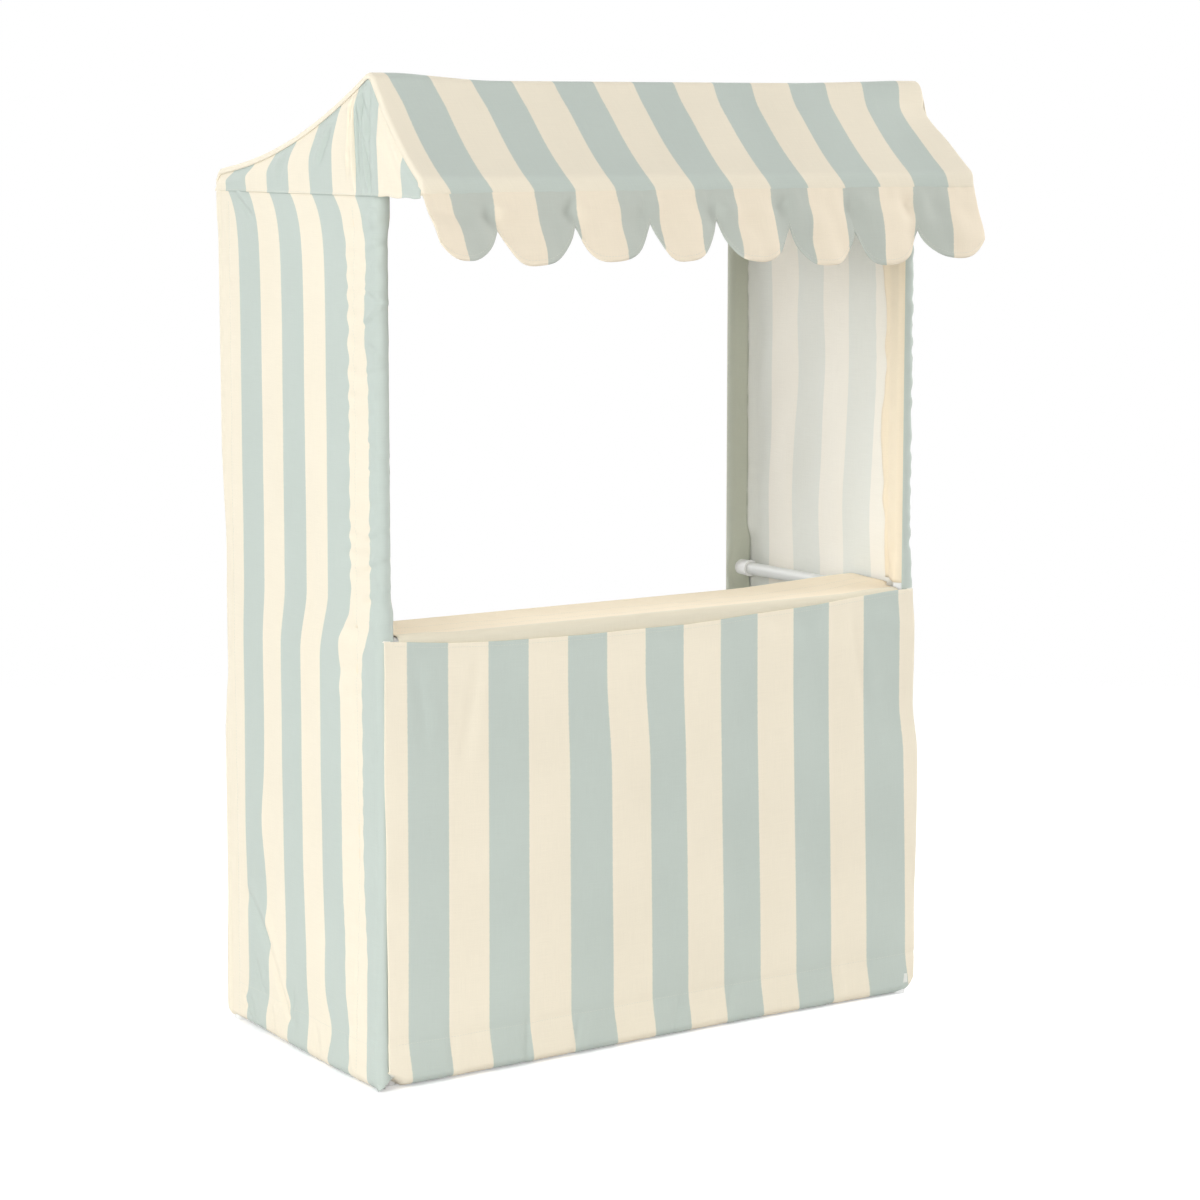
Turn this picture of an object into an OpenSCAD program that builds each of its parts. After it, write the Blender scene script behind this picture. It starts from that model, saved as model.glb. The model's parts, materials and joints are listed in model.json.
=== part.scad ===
// Toy market stall: a push-together frame of white tubes under a sewn, striped cloth cover,
// with a cloth counter, a pitched roof and a scalloped valance along the eave.
// Millimetres, +Z up, front towards -Y. The origin is on the floor, in the middle of the outline.

/* [Frame] */
// Width between the axes of the posts
frame_w = 870; // [700:10:1100]
// Depth between the axes of the posts
frame_d = 409; // [340:1:600]
// Height of the counter rails above the floor
counter_z = 591; // [450:1:750]
// Depth between the front and the rear counter rail
counter_d = 126; // [110:1:200]
// Height of the top rails above the floor
rail_z = 1195; // [1000:5:1400]
// Rise of the ridge pole above the top rails
ridge_rise = 121; // [100:1:200]
// Reach of the awning arms in front of the front posts
awning_reach = 117; // [95:1:180]

/* [Tubes] */
// Outer diameter of every tube
tube_d = 19; // [16:0.5:22]
// Wall of every tube
tube_wall = 0.8; // [0.6:0.1:1.5]

/* [Connectors] */
// Wall of a socket around its tube
socket_wall = 2.6; // [2:0.1:3.5]
// Depth of a socket, from its mouth to its floor
socket_depth = 26; // [15:1:28]
// Solid left between the floor of a socket and the next socket's bore
socket_floor = 4.4; // [2:0.1:6]
// Gap around a tube in its socket
tube_fit = 0.1; // [0.05:0.01:0.2]
// Gap between the end of a tube and the floor of its socket
tube_end_gap = 0.5; // [0.2:0.1:1]
// How much thinner each crossing branch is than the one before it
branch_step = 0.3; // [0.2:0.05:0.5]
// How far the bead at a socket's mouth stands out
mouth_step = 0.6; // [0.3:0.1:1]
// Length of the bead at a socket's mouth
mouth_len = 5; // [3:0.5:8]

/* [Cloth] */
// Thickness of one layer of cloth
cloth_t = 1.5; // [0.8:0.1:2]
// Gap between the cloth and what it is pulled over or sewn against
cloth_gap = 0.3; // [0.2:0.05:0.6]
// Gap between the lowest cloth and the floor
hem_clear = 0.4; // [0.3:0.1:3]
// Width of a pole pocket, from the axis of its tube to its stitching
pocket_w = 45; // [35:1:50]
// How deep the folds of a side panel stand out
side_fold = 5; // [2:0.5:16]
// Number of folds across a side panel
side_folds = 3; // [2:1:5]
// How deep the folds of the front panel stand out
front_fold = 6; // [2:0.5:14]
// Number of folds across the front panel
front_folds = 6; // [3:1:9]
// How far the front panel laps past the axis of each front post
front_lap = 8; // [4:0.5:12]
// Height of the front panel's top seam above the counter rails, at its two ends
front_seam_rise = 6; // [0:0.5:10]
// Sag of the front panel's top seam in the middle
front_seam_sag = 22; // [0:1:26]
// Drop of the counter cloth's front lip below the counter rails
counter_lip = 26; // [20:1:40]
// Sag of the rear slope of the roof
rear_sag = 20; // [4:1:28]
// Sag of the front slope of the roof
front_sag = 8; // [0:1:14]

/* [Valance] */
// Number of scallops
scallops = 8; // [5:1:12]
// Drop from the seam to the bottom of a scallop
valance_drop = 97; // [80:1:130]
// Depth of a scallop, from the notches beside it to its bottom
scallop_depth = 48; // [20:1:60]
// Thickness of the lined valance
valance_t = 2.4; // [1.6:0.1:4]
// Radius of the corded edge that the valance swings on
valance_cord_r = 1.7; // [1.2:0.1:2.5]
// Drop from the eave bar to the end of the roof cloth above the valance
eave_drop = 8; // [4:0.5:12]
// Lean of the hanging valance out of the vertical
valance_lean = 13; // [0:1:20]
// Extra lean at the left end, where the cloth flares out
valance_flare = 25; // [0:1:30]
// Length along the valance over which the flare dies away
flare_len = 55; // [20:1:120]
// How far the middle of a scallop bellies out
scallop_belly = 5; // [0:0.5:10]

/* [Hidden] */
$fn = 64;

// Columns and rows of the sheets that hang in folds
panel_cols = 24;
panel_rows = 14;
scallop_cols = 8;
valance_rows = 4;
arc_steps = 12;
sag_steps = 10;

// How far a cutter runs past what it cuts
cut = 1;

cream = "#EDE3CE";
sage = "#BEC7C0";
white_paint = "#F4F3F0";
white_plastic = "#FAFAF8";

up = [0, 0, 1];
down = [0, 0, -1];
front = [0, -1, 0];
back = [0, 1, 0];

// Connectors: radii of the upright, fore-and-aft and crosswise branches, and their lengths
bore_r = tube_d / 2 + tube_fit;
upright_r = bore_r + socket_wall;
side_r = upright_r - branch_step;
cross_r = side_r - branch_step;
hub_r = upright_r + mouth_step / 2;
hub_turn = 8;
core = bore_r + socket_floor;
socket_end = core + socket_depth;

// Cloth that is bent round a tube lies outside the widest branch
cloth_in = upright_r + mouth_step + cloth_gap;
cloth_out = cloth_in + cloth_t;

// Levels
floor_rail_z = cloth_out + hem_clear;
ridge_z = rail_z + ridge_rise;
seam_z = rail_z - cloth_out;
panel_foot_z = floor_rail_z + pocket_w;

// The valance's pitch, and how far its edge reaches in front of its cord
valance_half = frame_w / 2 + cloth_out;
scallop_pitch = 2 * valance_half / scallops;
valance_reach = max([for (column = valance_face(1)) for (p = column) -p.y]);

// Plan positions: the outline from the valance's edge to the rear hem is centred on the origin
post_x = frame_w / 2;
cloth_mid = (cloth_in + cloth_out) / 2;
front_y = (awning_reach + cloth_mid + valance_reach - frame_d - cloth_out) / 2;
rear_y = front_y + frame_d;
eave_y = front_y - awning_reach;
counter_rear_y = front_y + counter_d;
cord_y = eave_y - cloth_mid;
cord_z = rail_z - eave_drop - cloth_gap - valance_cord_r;

// The front panel hangs in front of the front pole pockets
front_half = post_x + front_lap;
front_panel_y = front_y - cloth_out - cloth_gap;

paired = [
    "lower_post_front", "lower_post_rear", "upper_post_front", "upper_post_rear", "king_post",
    "floor_rail_side", "counter_side_rail_front", "counter_side_rail_rear",
    "top_side_rail", "awning_arm",
    "foot_connector_front", "foot_connector_rear", "counter_connector_front",
    "counter_connector_rear", "counter_tee", "top_connector_front", "top_connector_rear",
    "ridge_connector", "eave_connector",
    "post_pocket_front", "post_pocket_rear", "side_panel", "side_hem_pocket", "gable"
];
single = [
    "floor_rail_front", "counter_front_rail", "counter_rear_rail", "top_rear_rail", "ridge_pole",
    "eave_bar", "roof_cover", "valance", "counter_cover", "front_panel", "front_hem_pocket"
];

function reverse(list) = [for (k = [len(list) - 1:-1:0]) list[k]];

function inward(side) = [-side, 0, 0];

// Point at an angle on a circle, and a run of such points
function on_circle(centre, r, a) = centre + r * [cos(a), sin(a)];
function arc(centre, r, from, to) =
    [for (k = [0:arc_steps]) on_circle(centre, r, from + (to - from) * k / arc_steps)];

// Inner points of a cloth that hangs between two points, sagging along a parabola
function hanging(p, q, sag) =
    [for (k = [1:sag_steps - 1]) let (t = k / sag_steps) p + (q - p) * t - [0, 4 * sag * t * (1 - t)]];

// Slope of the roof where it leaves a bar, in degrees; the sag adds to it at the upper bar
function slope(run, sag, end) = atan2(ridge_rise + end * 4 * sag, run);

// One face of the roof cloth in the YZ plane, at a distance r from the bars that carry it:
// up from the rear hem, over the rear rail, the ridge pole and the eave bar, down to the valance
function roof_line(r) = let (
    rear = arc([rear_y, rail_z], r, 0, 90 - slope(frame_d, rear_sag, -1)),
    ridge = arc([front_y, ridge_z], r, 90 - slope(frame_d, rear_sag, 1),
        90 + slope(awning_reach, front_sag, 1)),
    eave = arc([eave_y, rail_z], r, 90 + slope(awning_reach, front_sag, -1), 180)
) concat(
    [[rear_y + r, seam_z]],
    rear, hanging(rear[arc_steps], ridge[0], rear_sag),
    ridge, hanging(ridge[arc_steps], eave[0], front_sag),
    eave
);

// A pole pocket's section, with its tube at the origin: the outer layer lies along the second
// axis at cloth_in from the tube, the cloth turns round the tube and runs back to the stitching
stitch_d = norm([cloth_in, pocket_w]);
pocket_turn = atan2(pocket_w, cloth_in) + acos(cloth_out / stitch_d);
pocket_tip = cloth_in * (1 - cos(pocket_turn)) / sin(pocket_turn);

function pocket_arc(r) = arc([0, 0], r, 0, pocket_turn - 360);

module pocket_section() {
    difference() {
        polygon(concat([[cloth_out, pocket_w]], pocket_arc(cloth_out), [[cloth_in, pocket_w]]));
        polygon(concat(pocket_arc(cloth_in), [[cloth_in, pocket_tip]]));
    }
}

// Folds: nothing at the sewn edges, u and v running from 0 to 1 across and down the sheet
function swell(u, v) = sin(180 * u) * sin(180 * v);
function pleats(u, v, count, slant) = (1 - cos(360 * (count * u + slant * v * (1 - v)))) / 2;

// The valance in its cord's frame: the edge is a row of half ellipses, the sheet leans outwards
function scallop_angle(k) = 180 * (k % scallop_cols) / scallop_cols;
function valance_x(k) = let (whole = floor(k / scallop_cols))
    (whole + (1 - cos(scallop_angle(k))) / 2) * scallop_pitch - valance_half;
function edge_drop(k) = valance_drop - scallop_depth * (1 - sin(scallop_angle(k)));
function lean(k) = valance_lean + valance_flare * exp(-(valance_x(k) + valance_half) / flare_len);
function valance_point(k, j, face) = let (
    along_sheet = edge_drop(k) * j / valance_rows,
    belly = scallop_belly * sin(scallop_angle(k)) * along_sheet / valance_drop,
    out = belly + face * valance_t / 2,
    a = lean(k)
) [
    valance_x(k),
    -along_sheet * sin(a) - out * cos(a),
    -along_sheet * cos(a) + out * sin(a)
];
function valance_face(face) =
    [for (k = [0:scallops * scallop_cols]) [for (j = [0:valance_rows]) valance_point(k, j, face)]];

// A left side panel's two faces, from its rear edge to its front edge and from the seam down
function side_point(i, j, depth) = let (u = i / panel_cols, v = j / panel_rows) [
    -post_x - cloth_in - depth - side_fold * swell(u, v) * pleats(u, v, side_folds, 1),
    rear_y - pocket_w - u * (frame_d - 2 * pocket_w),
    seam_z - v * (seam_z - panel_foot_z)
];
function side_face(depth) =
    [for (i = [0:panel_cols]) [for (j = [0:panel_rows]) side_point(i, j, depth)]];

// The front panel's two faces, from left to right and from the sagging top seam down
function front_seam_z(u) = counter_z + front_seam_rise - front_seam_sag * 4 * u * (1 - u);
function front_point(i, j, depth) = let (u = i / panel_cols, v = j / panel_rows) [
    (2 * u - 1) * front_half,
    front_panel_y - depth - front_fold * swell(u, v) * pleats(u, v, front_folds, 0.5),
    front_seam_z(u) - v * (front_seam_z(u) - hem_clear)
];
function front_face(depth) =
    [for (i = [0:panel_cols]) [for (j = [0:panel_rows]) front_point(i, j, depth)]];

// Closed sheet between an outer and an inner face of equal grids, columns running to the right
// and rows down as seen from outside
module sheet(outer, inner) {
    cols = len(outer);
    rows = len(outer[0]);
    inner_at = cols * rows;
    function tris(a, b, c, d) = [[a, b, c], [a, c, d]];
    function at(i, j) = i * rows + j;
    faces = [for (i = [0:cols - 2]) for (j = [0:rows - 2])
        let (a = at(i, j), b = at(i + 1, j), c = at(i + 1, j + 1), d = at(i, j + 1))
        each concat(tris(a, b, c, d), tris(inner_at + a, inner_at + d, inner_at + c, inner_at + b))];
    ends = [for (i = [0:cols - 2])
        let (a = at(i, 0), b = at(i + 1, 0), c = at(i + 1, rows - 1), d = at(i, rows - 1))
        each concat(tris(a, inner_at + a, inner_at + b, b), tris(d, c, inner_at + c, inner_at + d))];
    sides = [for (j = [0:rows - 2])
        let (a = at(0, j), b = at(0, j + 1), c = at(cols - 1, j), d = at(cols - 1, j + 1))
        each concat(tris(a, b, inner_at + b, inner_at + a), tris(c, inner_at + c, inner_at + d, d))];
    polyhedron([for (column = concat(outer, inner)) each column], concat(faces, ends, sides));
}

// Turns +Z to a way along one of the axes
module along(way) {
    rotate([0, acos(way.z), atan2(way.y, way.x)]) children();
}

// Builds the right-hand piece, or its mirror image on the left
module handed(side) {
    mirror([side < 0 ? 1 : 0, 0, 0]) children();
}

// Draws a YZ section and runs it along X, equally to both sides
module across(half) {
    translate([-half, 0, 0]) rotate([90, 0, 90]) linear_extrude(2 * half) children();
}

// Tube from one connector to the next, span being the distance between their centres
module tube(from, way, span) {
    stand_off = core + tube_end_gap;
    length = span - 2 * stand_off;
    color(white_paint) translate(from) along(way) translate([0, 0, stand_off]) difference() {
        cylinder(h = length, d = tube_d);
        translate([0, 0, -cut]) cylinder(h = length + 2 * cut, d = tube_d - 2 * tube_wall);
    }
}

function branch_r(way) = way.z != 0 ? upright_r : way.y != 0 ? side_r : cross_r;

// Moulded connector with a blind socket each way, and a stub of the given height to stand on.
// The hub is turned so that the meridian where its surface closes lies clear of every socket.
module connector(centre, side, ways, stub = 0) {
    color(white_plastic) translate(centre) difference() {
        union() {
            rotate([0, 0, side < 0 ? 180 - hub_turn : hub_turn]) sphere(r = hub_r);
            translate([0, 0, -stub]) cylinder(h = stub, r = upright_r);
            for (way = ways) along(way) {
                cylinder(h = socket_end, r = branch_r(way));
                translate([0, 0, socket_end - mouth_len])
                    cylinder(h = mouth_len, r = branch_r(way) + mouth_step);
            }
        }
        if (stub > 0) translate([0, 0, -stub - 2 * hub_r]) cylinder(h = 2 * hub_r, r = 2 * hub_r);
        for (way = ways) along(way) translate([0, 0, core])
            cylinder(h = socket_depth + cut, r = bore_r);
    }
}

module lower_post(side, y) {
    tube([side * post_x, y, floor_rail_z], up, counter_z - floor_rail_z);
}

module upper_post(side, y) {
    tube([side * post_x, y, counter_z], up, rail_z - counter_z);
}

module king_post(side) {
    tube([side * post_x, front_y, rail_z], up, ridge_rise);
}

module floor_rail_side(side) {
    tube([side * post_x, front_y, floor_rail_z], back, frame_d);
}

module counter_side_rail_front(side) {
    tube([side * post_x, front_y, counter_z], back, counter_d);
}

module counter_side_rail_rear(side) {
    tube([side * post_x, counter_rear_y, counter_z], back, frame_d - counter_d);
}

module top_side_rail(side) {
    tube([side * post_x, front_y, rail_z], back, frame_d);
}

module awning_arm(side) {
    tube([side * post_x, front_y, rail_z], front, awning_reach);
}

module cross_tube(y, z) {
    tube([post_x, y, z], inward(1), frame_w);
}

module foot_connector_front(side) {
    connector([side * post_x, front_y, floor_rail_z], side, [up, back, inward(side)], floor_rail_z);
}

module foot_connector_rear(side) {
    connector([side * post_x, rear_y, floor_rail_z], side, [up, front], floor_rail_z);
}

module counter_connector_front(side) {
    connector([side * post_x, front_y, counter_z], side, [up, down, back, inward(side)]);
}

module counter_connector_rear(side) {
    connector([side * post_x, rear_y, counter_z], side, [up, down, front]);
}

module counter_tee(side) {
    connector([side * post_x, counter_rear_y, counter_z], side, [front, back, inward(side)]);
}

module top_connector_front(side) {
    connector([side * post_x, front_y, rail_z], side, [up, down, front, back]);
}

module top_connector_rear(side) {
    connector([side * post_x, rear_y, rail_z], side, [down, front, inward(side)]);
}

module ridge_connector(side) {
    connector([side * post_x, front_y, ridge_z], side, [down, inward(side)]);
}

module eave_connector(side) {
    connector([side * post_x, eave_y, rail_z], side, [back, inward(side)]);
}

// Clears the rails that leave a post at a given level; the outer layer of the pocket stays whole
module rail_slit(level, has_cross_rail) {
    translate([-cloth_out - cut, 0, level - cloth_out])
        cube([cloth_in + cloth_out + cut, pocket_w + cut, 2 * cloth_out]);
    if (has_cross_rail) translate([-cloth_out - cut, -cloth_out - cut, level - cloth_out])
        cube([cloth_out + cut, cloth_out + 2 * cut, 2 * cloth_out]);
}

// Pole pocket up a post; at the rear it is turned round, so that it opens towards the panel too
module post_pocket(side, y, is_front) {
    color(is_front ? sage : cream) handed(side) translate([post_x, y, 0])
        mirror([0, is_front ? 0 : 1, 0]) difference() {
            translate([0, 0, hem_clear]) linear_extrude(seam_z - hem_clear) pocket_section();
            for (level = [floor_rail_z, counter_z]) rail_slit(level, is_front);
        }
}

module side_panel(side) {
    color(cream) handed(-side) sheet(side_face(cloth_t), side_face(0));
}

module side_hem_pocket(side) {
    color(cream) handed(side) translate([post_x, rear_y - pocket_w, floor_rail_z])
        rotate([90, 0, 0]) linear_extrude(frame_d - 2 * pocket_w) pocket_section();
}

// The gable's front corner is cut back to leave the valance's cord free
module gable(side) {
    line = roof_line(cloth_in);
    color(cream) handed(side) translate([post_x + cloth_in, 0, 0])
        rotate([90, 0, 90]) linear_extrude(cloth_t)
            polygon(concat(line, [[eave_y, seam_z]]));
}

module roof_cover() {
    end_z = rail_z - eave_drop;
    color(sage) across(valance_half) polygon(concat(
        roof_line(cloth_out), [[eave_y - cloth_out, end_z], [eave_y - cloth_in, end_z]],
        reverse(roof_line(cloth_in))));
}

module valance() {
    color(sage) translate([0, cord_y, cord_z]) {
        sheet(valance_face(1), valance_face(-1));
        translate([-valance_half, 0, 0]) rotate([0, 90, 0])
            cylinder(h = 2 * valance_half, r = valance_cord_r);
    }
}

// Counter cloth: a pole pocket round each counter rail, one layer between them and a front lip
module counter_cover() {
    over = pocket_arc(cloth_out);
    under = concat(pocket_arc(cloth_in), [[cloth_in, pocket_tip]]);
    function at_front(list) = [for (p = list) [front_y + p.y, counter_z + p.x]];
    function at_rear(list) = [for (p = list) [counter_rear_y - p.y, counter_z + p.x]];
    stitching = [[cloth_in, pocket_w]];
    color(cream) across(post_x - cloth_out - cloth_gap) union() {
        difference() {
            polygon(concat(at_front(over), at_front(stitching),
                reverse(concat(at_rear(over), at_rear(stitching)))));
            polygon(at_front(under));
            polygon(at_rear(under));
        }
        translate([front_y - cloth_out, counter_z - counter_lip]) square([cloth_t, counter_lip]);
    }
}

module front_panel() {
    color(sage) sheet(front_face(cloth_t), front_face(0));
}

module front_hem_pocket() {
    color(cream) translate([0, front_y, floor_rail_z]) across(post_x - cloth_out - cloth_gap)
        mirror([1, 0]) pocket_section();
}

for (side = [-1, 1]) {
    hand = side < 0 ? "_left" : "_right";
    lower_post(side, front_y);
    lower_post(side, rear_y);
    upper_post(side, front_y);
    upper_post(side, rear_y);
    king_post(side);
    floor_rail_side(side);
    counter_side_rail_front(side);
    counter_side_rail_rear(side);
    top_side_rail(side);
    awning_arm(side);
    foot_connector_front(side);
    foot_connector_rear(side);
    counter_connector_front(side);
    counter_connector_rear(side);
    counter_tee(side);
    top_connector_front(side);
    top_connector_rear(side);
    ridge_connector(side);
    eave_connector(side);
    post_pocket(side, front_y, true);
    post_pocket(side, rear_y, false);
    side_panel(side);
    side_hem_pocket(side);
    gable(side);
}
cross_tube(front_y, floor_rail_z);  // floor_rail_front
cross_tube(front_y, counter_z);  // counter_front_rail
cross_tube(counter_rear_y, counter_z);  // counter_rear_rail
cross_tube(rear_y, rail_z);  // top_rear_rail
cross_tube(front_y, ridge_z);  // ridge_pole
cross_tube(eave_y, rail_z);  // eave_bar
roof_cover();
valance();
counter_cover();
front_panel();
front_hem_pocket();
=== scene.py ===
import json
import math

import bpy
import numpy as np
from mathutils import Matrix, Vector


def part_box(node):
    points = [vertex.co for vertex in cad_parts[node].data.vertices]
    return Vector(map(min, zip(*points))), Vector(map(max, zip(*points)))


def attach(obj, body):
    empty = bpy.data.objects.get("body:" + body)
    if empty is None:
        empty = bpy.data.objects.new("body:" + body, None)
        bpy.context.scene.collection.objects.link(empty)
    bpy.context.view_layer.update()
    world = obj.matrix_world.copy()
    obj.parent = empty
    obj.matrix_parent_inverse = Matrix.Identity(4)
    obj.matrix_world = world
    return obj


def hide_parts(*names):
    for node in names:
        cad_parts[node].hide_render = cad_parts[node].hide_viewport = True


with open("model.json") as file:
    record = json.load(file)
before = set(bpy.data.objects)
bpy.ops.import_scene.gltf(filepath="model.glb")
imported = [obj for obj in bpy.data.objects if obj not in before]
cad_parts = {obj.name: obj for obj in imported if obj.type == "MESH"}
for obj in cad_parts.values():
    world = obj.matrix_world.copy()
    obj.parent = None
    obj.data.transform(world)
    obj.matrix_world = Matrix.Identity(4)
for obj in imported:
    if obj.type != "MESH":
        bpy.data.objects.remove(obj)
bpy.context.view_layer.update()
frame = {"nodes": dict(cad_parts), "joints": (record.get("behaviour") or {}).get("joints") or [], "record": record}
scene = bpy.context.scene
scene.view_settings.view_transform = "Standard"
mm = 0.001
pi = math.pi
hands = ("left", "right")
sideOf = {"left": -1, "right": 1}  # along x

camera = {
    "place": (-2.640656, -3.929472, 1.275694),
    "tilt": 81.933,  # degrees, 90 would look level
    "turn": -33.80,  # degrees, 0 would look straight at the front
    "lens": 101.52,  # mm
    "sensor": 36,  # mm
}
lens = bpy.data.cameras.new("photo_view")
lens.lens = camera["lens"]
lens.sensor_width = camera["sensor"]
photoView = bpy.data.objects.new("photo_view", lens)
photoView.location = camera["place"]
photoView.rotation_euler = (math.radians(camera["tilt"]), 0, math.radians(camera["turn"]))
scene.collection.objects.link(photoView)
scene.camera = photoView


def middle(node):
    low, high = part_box(node)
    return (low + high) / 2


# where the frame stands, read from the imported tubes
postX = middle("lower_post_front_right").x
frontY = middle("lower_post_front_right").y
rearY = middle("lower_post_rear_right").y
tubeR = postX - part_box("lower_post_front_right")[0].x
counterZ = middle("counter_front_rail").z
counterRearY = middle("counter_rear_rail").y
floorZ = middle("floor_rail_front").z
topZ = middle("top_rear_rail").z
ridgeZ = middle("ridge_pole").z
eaveY = middle("eave_bar").y
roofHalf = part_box("roof_cover")[1].x
clothR = roofHalf - postX  # outer face of the cloth round a connector
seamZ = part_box("gable_left")[0].z
hingeY, hingeZ = frame["joints"][0]["pos_m"][1:]
sideDepth = rearY - frontY
print("frame", round(sideDepth, 4), round(clothR, 4), round(seamZ, 4))


class Wire:
    # one shader output: operators add Math nodes, node() adds any other node
    def __init__(self, tree, socket=None):
        self.tree = tree
        self.socket = socket

    def node(self, kind, settings=None, values=None, out=0):
        made = self.tree.nodes.new("ShaderNode" + kind)
        for key, value in (settings or {}).items():
            setattr(made, key, value)
        for key, value in (values or {}).items():
            if isinstance(value, Wire):
                self.tree.links.new(value.socket, made.inputs[key])
            else:
                made.inputs[key].default_value = value
        return Wire(self.tree, made.outputs[out] if made.outputs else None)

    def other(self, out):
        return Wire(self.tree, self.socket.node.outputs[out])

    def maths(self, operation, *terms):
        return self.node("Math", {"operation": operation}, dict(enumerate(terms)))

    def __add__(self, term):
        return self.maths("ADD", self, term)

    def __sub__(self, term):
        return self.maths("SUBTRACT", self, term)

    def __rsub__(self, term):
        return self.maths("SUBTRACT", term, self)

    def __mul__(self, term):
        return self.maths("MULTIPLY", self, term)

    def __truediv__(self, term):
        return self.maths("DIVIDE", self, term)

    __radd__ = __add__
    __rmul__ = __mul__

    def sine(self):
        return self.maths("SINE", self)

    def cosine(self):
        return self.maths("COSINE", self)

    def clamp(self):
        return self.node("Clamp", None, {"Value": self})

    def noise(self, vector, scale, detail=2.0):
        values = {"Vector": vector, "Scale": scale, "Detail": detail}
        return self.node("TexNoise", None, values, "Fac")

    def mixColour(self, factor, first, second, blend="MIX"):
        settings = {"data_type": "RGBA", "blend_type": blend}
        return self.node("Mix", settings, {0: factor, 6: first, 7: second}, 2)

    def shade(self, colour, tone):
        return self.mixColour(1.0, colour, tone, "MULTIPLY")


def newMaterial(name):
    material = bpy.data.materials.new(name)
    material.use_nodes = True
    material.node_tree.nodes.clear()
    return material, Wire(material.node_tree)


def finishMaterial(wire, values):
    shader = wire.node("BsdfPrincipled", None, values)
    wire.node("OutputMaterial", None, {"Surface": shader})


canvas = {
    "cream": (0.855, 0.775, 0.625, 1),
    "sage": (0.525, 0.580, 0.530, 1),
    "creamBack": (0.865, 0.83, 0.75, 1),
    "sageBack": (0.75, 0.76, 0.71, 1),
    "plain": (0.86, 0.75, 0.575, 1),
    # darker cream for the counter's front band: painted shade
    "band": (0.74, 0.68, 0.54, 1),
    "creamLined": (0.855, 0.752, 0.595, 1),
    "sageLined": (0.505, 0.535, 0.48, 1),
    "sageStrip": (0.485, 0.505, 0.42, 1),
    "stripe": 63 * mm,
    "softEdge": 0.7 * mm,
    "yarn": 0.8 * mm,  # one thread and its gap
    "relief": 0.16 * mm,
    "slub": (1150, 28),  # how close thick and thin places lie across and along a thread
    "wander": 1.1 * mm,  # unevenness of the stripes' edges
    "tone": 0.985,
    "fadeTone": 0.06,  # how much fading, slubs and weave change the tone
    "slubTone": 0.06,
    "weaveTone": 0.02,
    "rough": 0.88,
    "slubRough": 0.12,
    "strength": 0.55,
    "specular": 0.22,
    "sheen": 0.12,
    "sheenRough": 0.55,
}


def canvasMaterial(name, cream, sage=None):
    # two sets of threads over and under each other, with thick and thin yarns and faint fading
    material, wire = newMaterial(name)
    uv = wire.node("UVMap", {"uv_map": "cloth"})
    across = wire.node("SeparateXYZ", None, {"Vector": uv}, "X")
    along = across.other("Y")
    close, far = canvas["slub"]
    warp = wire.node("VectorMath", {"operation": "MULTIPLY"}, {0: uv, 1: (close, far, 1)})
    weft = wire.node("VectorMath", {"operation": "MULTIPLY"}, {0: uv, 1: (far, close, 1)})
    slub = wire.noise(warp, 1.0, 1.0) + wire.noise(weft, 1.0, 1.0) - 1.0
    fade = wire.noise(uv, 5.0, 3.0) - 0.5
    turn = pi / canvas["yarn"]
    weave = (across * turn).sine() * (along * turn).sine()
    if sage is None:
        colour = cream
    else:
        wander = (wire.noise(uv, 240.0, 1.0) - 0.5) * canvas["wander"]
        wave = ((across + wander) * (pi / canvas["stripe"])).cosine()
        mask = (wave * (canvas["stripe"] / (2 * pi * canvas["softEdge"])) + 0.5).clamp()
        colour = wire.mixColour(mask, cream, sage)
    tone = canvas["tone"] + fade * canvas["fadeTone"] + slub * canvas["slubTone"]
    tone = tone + weave * canvas["weaveTone"]
    colour = wire.shade(colour, tone)
    height = weave * 0.5 + slub * 1.5
    bump = {"Strength": canvas["strength"], "Distance": canvas["relief"], "Height": height}
    values = {
        "Base Color": colour,
        "Roughness": canvas["rough"] - slub * canvas["slubRough"],
        "Specular IOR Level": canvas["specular"],
        "Sheen Weight": canvas["sheen"],
        "Sheen Roughness": canvas["sheenRough"],
        "Normal": wire.node("Bump", None, bump),
    }
    finishMaterial(wire, values)
    return material


stripedCanvas = canvasMaterial("striped_canvas", canvas["cream"], canvas["sage"])
stripedBack = canvasMaterial("striped_canvas_back", canvas["creamBack"], canvas["sageBack"])
linedCanvas = canvasMaterial("striped_canvas_lined", canvas["creamLined"], canvas["sageLined"])
creamCanvas = canvasMaterial("cream_canvas", canvas["plain"])
# the same canvas in a darker cream, as painted shade on the counter's front band
shadedBandCanvas = canvasMaterial("cream_canvas_band_painted_shade", canvas["band"])
sageCanvas = canvasMaterial("sage_canvas", canvas["sageStrip"])

coat = {  # fine orange peel with faint handling marks
    "white": (0.65, 0.66, 0.645, 1),
    "grain": (900.0, 2.0),  # scale and detail
    "cloud": (14.0, 4.0),
    "tone": (0.97, 0.06),  # least, and how much the clouds add
    "rough": (0.36, 0.14),
    "specular": 0.5,
    "strength": 0.25,
    "relief": 0.1 * mm,
}
moulded = {  # satin plastic with a fine spark texture
    "white": (0.84, 0.84, 0.83, 1),
    "grain": (2600.0, 1.0),
    "cloud": (30.0, 3.0),
    "tone": (0.98, 0.04),
    "rough": (0.5, 0.1),
    "specular": 0.4,
    "strength": 0.2,
    "relief": 0.08 * mm,
}
thread = {"cream": (0.66, 0.66, 0.58, 1), "fibre": 2200.0}


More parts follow.
